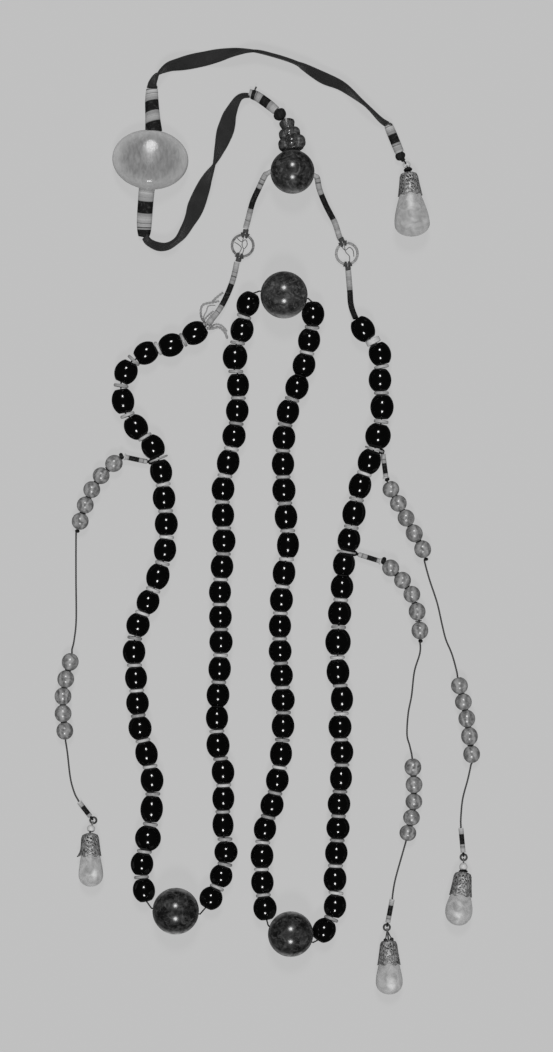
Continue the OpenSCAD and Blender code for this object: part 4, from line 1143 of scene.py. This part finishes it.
# %% Pierced caps
PETALS = 6
WINDOW = 0.4
SHEET_T = 0.45
CAP_STEPS, CAP_SIDES = 54, 126


def cap(name, drop, metal_seed, bent=0):
    down = np.linspace(0, 1, CAP_STEPS)[:, None]
    angle = circle(CAP_SIDES)
    cap_l, shoulder, mouth = drop.cap_l, drop.shoulder, drop.mouth
    length = cap_l + 0.25 + 0.45 * np.cos(angle * PETALS)
    place = down * length
    knots = [0, 0.35, 1.1, 2.6, 0.55 * cap_l, cap_l, cap_l + 2]
    radii = [0.5, shoulder * 0.5, shoulder * 0.86, shoulder, shoulder + 0.35 * (mouth - shoulder), mouth,
             mouth + 0.5]
    r = np.interp(place, knots, radii) + 0.12 * np.cos(angle * PETALS) * np.clip(place / cap_l, 0, 1)
    spread = np.abs((angle + math.pi) % math.tau - math.pi)
    r = r + bent * np.exp(-(spread / 0.3) ** 2) * np.clip(place / cap_l * 3 - 2, 0, 2) ** 2
    u = angle * PETALS
    crossed = (np.sin(u * 1.5 + 1.5 * np.sin(place * 1.3 + metal_seed))
               * np.cos(place * 1.5 + 1.3 * np.sin(u + metal_seed)))
    curled = np.sin(u * 0.5 + place * 2.1 + 2 * np.sin(u * 1.5 - place * 0.9 + 2 * metal_seed))
    scroll = np.abs(crossed * 0.85 + curled * 0.35)
    rib = np.abs(np.sin(u / 2)) < 0.2
    solid = (scroll < WINDOW) | rib | (place < 1.8) | (length - place < 0.8)
    side, top, axis = axes_of(drop.axis)
    rows = rings(drop.top, side, top, r, sides=CAP_SIDES) + place[..., None] * axis
    maker = Maker()
    # Painted shade: the last factor darkens the cap's two sides; the rest follows the scrolls and keeps the
    # ribs dark.
    rim = np.where(rib, 0.1, 1 - scroll * 1.7) * (1.1 - np.cos(angle) ** 2)
    maker.grid(rows, keep=solid[:-1], rim=np.clip(rim, 0, 1))
    eye_at, eye_end, eye_normal = eye_on(drop, drop.top)
    maker.grid(hoop(eye_at, eye_normal, DROP_EYE_R, RING_TUBE), along=True)
    maker.grid(tube(np.linspace(eye_end - 0.1 * drop.way, drop.top + 0.4 * drop.way, 6), 0.45, 10),
               caps=True)
    obj = maker.piece(name.replace("drop", "pierced_cap"), cap_metal, "cap_metal", name + "_cap")
    thick = obj.modifiers.new("thickness", "SOLIDIFY")
    thick.thickness = SHEET_T * MM
    thick.offset = -1


for number, (name, drop) in enumerate(drops.items()):
    cap(name, drop, number * 1.3, 1.0 if name == "left_drop" else 0)

# %% [markdown]
# The stone swells from the cap's mouth to a round foot. Its rim mark is painted light: a pale
# glow at the foot and at the sides in place of their shade, and a painted highlight near the top of
# each stone. The link is a wire hoop. Two drops have a small bead on the post between the link and
# the cap, and one has two bent wires there.


# %% Pear stones, links and post beads
def pear(drop):
    """Outline of the stone: flanks that swell smoothly to the widest place, and a round foot."""
    neck = drop.shoulder - 1.1
    start, mouth = drop.cap_l, drop.mouth - 0.55
    run, swell = drop.widest - start, drop.stone - mouth
    t = np.linspace(0, 1, 16)[:-1]
    flank = np.stack([start + run * t, mouth + swell * (1.25 * t + 0.5 * t ** 2 - 0.75 * t ** 3)], 1)
    around = np.radians(np.arange(0, 90, 5))
    foot = drop.length - drop.widest
    round_foot = np.stack([drop.widest + foot * np.sin(around), drop.stone * np.cos(around) ** 0.9], 1)
    rows = [(1.6, 0.3), (2.2, neck - 1.2), (4.2, neck), *flank, *round_foot, (drop.length, 0.02)]
    return [(r, z) for z, r in rows]


# Painted highlight near the top of each stone: x, y and how far it spreads each way
PAINTED_HIGHLIGHT = {"ribbon_drop": (70.8, 159, 1.8, 4.6), "left_drop": (-86.5, -176.4, 1.4, 2.4),
        "middle_drop": (61.6, -230.9, 2.3, 3.3), "right_drop": (94.3, -196.7, 2.2, 1.5)}
STONE_SIDES = 56
TABLE_GAP = 0.02
# The lump at the end of each bent wire: radius and place
WIRE_LUMP = [(0.02, -0.9), (0.8, -0.5), (1, 0), (0.8, 0.5), (0.02, 0.9)]
for name, drop in drops.items():
    maker = Maker()
    outline = pear(drop)
    rows = turned(drop.top, drop.axis, outline, STONE_SIDES)
    rows[..., 2] = np.maximum(rows[..., 2], TABLE_GAP)
    x, y, along_x, along_y = PAINTED_HIGHLIGHT[name]
    # Painted light: a painted highlight near the top, and pale sides and foot in place of their shade.
    spot = ((rows[..., 0] - x) / along_x) ** 2 + ((rows[..., 1] - y) / along_y) ** 2
    spot = np.exp(-spot ** 2) * (rows[..., 2] > drop.stone)
    down = np.array(outline)[:, 1:]
    foot = np.clip((down - drop.widest) / (drop.length - drop.widest), 0, 1) ** 2
    painted_side_light = 1.4 * np.cos(circle(STONE_SIDES)) ** 4
    maker.grid(rows, caps=True, rim=np.maximum(painted_side_light, foot) + spot)
    maker.piece(name.replace("drop", "pear_stone"), pale_stone, "pale_stone", name + "_stone")
    maker = Maker()
    tied = name != "ribbon_drop"
    maker.grid(hoop(drop.ring, drop.normal, LINK_R, 0.5 if tied else 0.38), along=True, rim=0.5)
    maker.piece(name.replace("drop", "link"), dark_wire if tied else wire_metal, "wire_metal", name + "_ring")
    if drop.post_bead:
        turn = math.acos(min(1, drop.way @ drop.axis))
        out = 0.15 + drop.post_bead / 2 + 1.6 * math.sin(turn)
        maker = Maker()
        outline = barrel(2, drop.post_bead / 2, 1.2, 0.65, lip=0.1)
        maker.grid(turned(drop.top - out * drop.way, drop.way, outline, 32), along=True, tone=1)
        maker.piece(name.replace("drop", "post_bead"), pale_glass, "pale_glass", name + "_bead")
    if name == "middle_drop":
        maker = Maker()
        for out in (-1.6, 1.6):
            lump = drop.top + out * drop.side + (0, 0, 1.4)
            maker.grid(tube(np.linspace(drop.ring + LINK_R * drop.way, lump, 6), 0.28, 8), caps=True)
            maker.grid(turned(lump, (0, 0, 1), WIRE_LUMP, 12), caps=True)
        maker.piece("middle_cap_wires", dark_wire, "wire_metal")

# %% [markdown]
# ## Lower sleeves
# Each counting string ends in another sleeve, made by the same function, with its loop on the
# link of the drop.

# %% Lower sleeves
LOWER_BANDS = {"left": (2.8, 7.6), "middle": (3.0, 8.1), "right": (2.8, 7.9)}
lower_ends = {}
for side_name, (_, _, _, near, drop_name) in STRINGS.items():
    eye_at, eye_end, eye_normal = eye_on(drops[drop_name], near)
    lower_ends[side_name] = eye_end
    sleeve("lower_sleeve_" + side_name, near, eye_end, LOWER_BANDS[side_name],
           side_name + "_string_sleeve_lower", (eye_at, eye_normal))

# %% [markdown]
# ## Threads of the counting strings
# Between its two groups of beads each string is bare thread that lies on the table. Dark knots
# stop the beads at both ends of the upper group, and thin dark rings of thread part them.

# %% String threads
LIE = 0.42
BETWEEN = {
    "left": [(-96.1, -6, 2.4), (-96.3, -12.5), (-96.3, -30), (-96.2, -50), (-97.2, -60), (-98.2, -64.6, 2.6)],
    "middle": [(76, -60.6, 2.4), (76.2, -66.5), (73.4, -76), (72, -88), (70.3, -97), (69.7, -107.5),
               (71, -113), (72, -117.4, 2.6)],
    "right": [(78.3, -20.4, 2.6), (81, -30), (84.8, -41.5), (87.3, -52.5), (89.2, -60), (92.3, -67.5),
              (94.7, -76.6, 2.6)]}
BELOW = {"left": [(-101.4, -110.6, 2.8), (-100.5, -117.5), (-99, -130), (-96.6, -138, 0.8)],
         "middle": [(69, -161.4, 2.8), (67.5, -167), (64, -179.5), (62.6, -187, 0.8)],
         "right": [(101.7, -122.4, 2.8), (100.2, -130), (97.6, -140), (96.6, -151, 0.8)]}
STOP_R = {"left": 1.8, "middle": 2, "right": 1.3}


def lying(rows):
    """A smooth curve through a few points, which lie on the table where they have no height."""
    return smooth([(*row, LIE)[:3] for row in rows], 8)


for side_name, (_, _, far, near_low, _) in STRINGS.items():
    hook_at, toward, _, near = hooks[side_name]
    upper, lower = count_beads[side_name][:5], count_beads[side_name][5:]
    low_end = lower_ends[side_name]
    faces = bead_ends(upper, 0.1)
    runs = [near + 2 * unit(far - near), far, *faces, *lying(BETWEEN[side_name]), *bead_ends(lower, 0.1),
            *lying(BELOW[side_name]), near_low, low_end + 2 * unit(near_low - low_end)]
    maker = Maker()
    twist(maker, runs, 0.45, plies=3, pitch=3.2)
    away = unit((*BETWEEN[side_name][1], LIE) - faces[-1])
    stop_r = STOP_R[side_name]
    stops = [(faces[0] + 0.2 * (far - faces[0]) + (0, 0.8, 0.9), faces[0] - far, stop_r, 0.6 * stop_r),
             (hook_at + 0.4 * toward, toward, 1.4, 1.2), (faces[-1] + 1.1 * away, away, 1.2, 0.8)]
    stops += [((a.at + b.at) / 2, b.at - a.at, 1.75, 0.35) for group in (upper, lower)
              for a, b in zip(group, group[1:])]
    for at, way, r, half in stops:
        outline = [(0.02, -half), (0.8 * r, -0.7 * half), (r, 0), (0.8 * r, 0.7 * half), (0.02, half)]
        maker.grid(turned(at, way, outline, 14), caps=True, dark=1)
    maker.piece("string_thread_" + side_name, grey_thread, "dark_cord", side_name + "_string_thread")

# %% [markdown]
# ## Stupa
# The small stupa on the head bead is carved from one stone: two lobed tiers and a flared top
# with a slot. Seen along its axis every point has one radius, the reach of the furthest lobe in
# that direction, so it is a grid of radii. The two ears beside the slot are half rounds.

# %% Stupa
head_at, head_r, _ = large_beads["head_bead"]


def dipped(lean_degrees, dip=12):
    lean_angle, dip_angle = math.radians(lean_degrees), math.radians(dip)
    return np.array([-math.sin(lean_angle) * math.cos(dip_angle), math.cos(lean_angle) * math.cos(dip_angle),
                     -math.sin(dip_angle)])


STUPA_WIDER = 1.09
stupa_way = dipped(13.5)
stupa_hole = dipped(-3)
stupa_foot = head_at + (head_r + 0.3) * stupa_hole
# Tiers by columns: place down the length, core radius, ring radius and radius of the lobes
TIERS = ((3.6, 4.6, 3.6, 3.2), (8.8, 3.8, 2.7, 2.6))
LOBES = 6
STUPA_SIDES = 120
TOP_PROFILE = np.array([(10.2, 3.0), (12, 2.9), (13.6, 3.4), (15.4, 3.85), (16.5, 3.5), (16.8, 2.6)])
SLOT_W = 0.9
SLOT_FOOT = 12.4
tilt = math.acos(stupa_way[2])
heading = math.atan2(stupa_way[1], stupa_way[0])
local_x = np.array([math.cos(tilt) * math.cos(heading), math.cos(tilt) * math.sin(heading), -math.sin(tilt)])
local_y = np.array([-math.sin(heading), math.cos(heading), 0])


def carve(angle, place):
    """How far the stone reaches from its axis."""
    reach = np.where(place < 3.6, 4.6, np.full_like(angle, 0.5))
    for at, core, ring, lobe in TIERS:
        reach = np.maximum(reach, np.sqrt(np.clip(core ** 2 - (place - at) ** 2, 0, None)))
        slice_r = np.clip(lobe ** 2 - (place - at) ** 2, 0, None)
        for k in range(LOBES):
            off = angle - k * math.tau / LOBES
            inside = slice_r - (ring * np.sin(off)) ** 2
            hit = (inside > 0) & (np.cos(off) > 0)
            edge = ring * np.cos(off) + np.sqrt(np.clip(inside, 0, None))
            reach = np.where(hit, np.maximum(reach, edge), reach)
    return np.where(place > TIERS[1][0], np.maximum(reach, np.interp(place, *TOP_PROFILE.T)), reach)


angle, place = np.meshgrid(circle(STUPA_SIDES), np.linspace(0, SLOT_FOOT, 56))
reach = carve(angle, place)
across = STUPA_WIDER * reach * np.sin(angle)
rows = (stupa_foot + (reach * np.cos(angle))[..., None] * local_x + across[..., None] * local_y
        + place[..., None] * stupa_way)
out = rows - head_at
clear_r = head_r + 0.12
rows = np.where(np.linalg.norm(out, axis=-1, keepdims=True) < clear_r, head_at + clear_r * unit(out), rows)
maker = Maker()
maker.grid(rows, caps=True, rim=np.clip(np.sin(angle) * -0.6, 0, 1),
           polish=np.clip(1.8 - np.abs(across) / 1.3, 0, 1))
for side in (-1, 1):
    ear = []
    for z in np.linspace(SLOT_FOOT - 0.1, TOP_PROFILE[-1][0], 14):
        r = np.interp(z, *TOP_PROFILE.T) * math.sqrt(max(0.05, 1 - max(0, (z - 14) / 2.9) ** 2))
        edge = math.asin(min(0.9, SLOT_W / 2 / r))
        arc = np.linspace(edge, math.pi - edge, 17)
        line = [(r * math.cos(a), side * r * math.sin(a)) for a in arc]
        line += [(x, side * r * math.sin(edge)) for x in np.linspace(line[-1][0], line[0][0], 7)[1:-1]]
        ear.append([stupa_foot + x * local_x + STUPA_WIDER * y * local_y + z * stupa_way
                    for x, y in line[::side]])
    maker.grid(ear, caps=True)
maker.piece("carved_stupa", carved_stone, "carved_stone", "stupa")

# %% [markdown]
# ## Knots and bail
# A knot of dark cord ties the ribbon's end to the stupa, and another one, the bail, holds the
# ribbon's drop. A ball with slanting ridges reads as such a knot. Thin thread runs down from the
# first knot through the stupa's slot.


# %% Knot and bail
KNOT_SIDES = 48


def ridged_ball(maker, at, axis, r, half, ridges=9):
    """A knot: a ball with slanting ridges of thread, with painted shade in the grooves."""
    place = np.linspace(-1, 1, 28)[:, None]
    angle = circle(KNOT_SIDES)
    side, top, axis = axes_of(axis)
    ridge = np.abs(np.sin(angle * ridges / 2 + place * 1.6))
    swell = 1 + 0.05 * ridge + 0.04 * np.sin(angle * 2 + 3 * place)
    reach = r * np.sqrt(np.clip(1 - place ** 2, 0.01, None)) * swell
    # Painted shade: the tone is low in the grooves between the ridges.
    maker.grid(rings(at + half * place * axis, side, top, reach, sides=KNOT_SIDES), caps=True, tone=ridge)


knot_at = np.array([6, 202.9, 4.6])
binding_end = np.array([3.7, 205.1, 4.2])
maker = Maker()
ridged_ball(maker, knot_at, binding_end - knot_at, 3.2, 2.9)
maker.piece("stupa_tie_knot", dark_cord, "dark_cord", "stupa_knot")
maker = Maker()
twist(maker, [binding_end, knot_at, stupa_foot + 17 * stupa_way, stupa_foot + 12 * stupa_way, stupa_foot],
      0.4, pitch=1.5)
maker.piece("stupa_stem_thread", pale_thread, "pale_thread")

bail_at = np.array([66.2, 182.4, 2.7])
drop = drops["ribbon_drop"]
eye_at, eye_end, eye_normal = eye_on(drop, bail_at)
maker = Maker()
ridged_ball(maker, bail_at, eye_end - bail_at, 2.5, 2.3)
maker.grid(tube(np.linspace(bail_at, eye_end, 6), np.linspace(1.5, 1.0, 6), 12), caps=True)
maker.grid(hoop(eye_at, eye_normal, DROP_EYE_R, RING_TUBE), along=True)
ridged_ball(maker, drop.top - 1.2 * drop.way, drop.way, 2.1, 1.1, ridges=7)
drop = drops["right_drop"]
ridged_ball(maker, drop.top - 0.1 * drop.way, drop.way, 2.2, 0.7, ridges=7)
maker.piece("ribbon_bail", dark_cord, "dark_cord", "ribbon_drop_bail")

# %% [markdown]
# ## Floor
# The photograph's ground is an even pale grey with hardly a shadow. A floor that gives off most
# of its tone and takes only a little light keeps it even, and leaves faint contact shadows.
# The glass hardly mirrors it in the photograph, so reflections pass it by.

# %% Floor
FLOOR = 3.0
FLOOR_TONE = 0.06
FLOOR_GLOW = 0.466
floor_finish = Finish("floor", {"Roughness": 1.0, "Specular IOR Level": 0.0, "Emission Strength": 1.0,
                                "Base Color": (FLOOR_TONE, FLOOR_TONE, FLOOR_TONE, 1),
                                "Emission Color": (FLOOR_GLOW, FLOOR_GLOW, FLOOR_GLOW, 1)})
floor_mesh = bpy.data.meshes.new("floor")
corners = [(-FLOOR, -FLOOR, 0), (FLOOR, -FLOOR, 0), (FLOOR, FLOOR, 0), (-FLOOR, FLOOR, 0)]
floor_mesh.from_pydata(corners, [], [(0, 1, 2, 3)])
floor_mesh.materials.append(floor_finish.material)
floor = scene_object("floor", floor_mesh)
floor.visible_glossy = False
floor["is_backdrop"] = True
print("floor width in m:", 2 * FLOOR)

# %% [markdown]
# ## The size
# The box round every shown piece of the dressed necklace gives its size, which is printed.

# %% Measure and finish
low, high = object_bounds()
print("visual size in mm:", [round(v / MM, 1) for v in high - low])
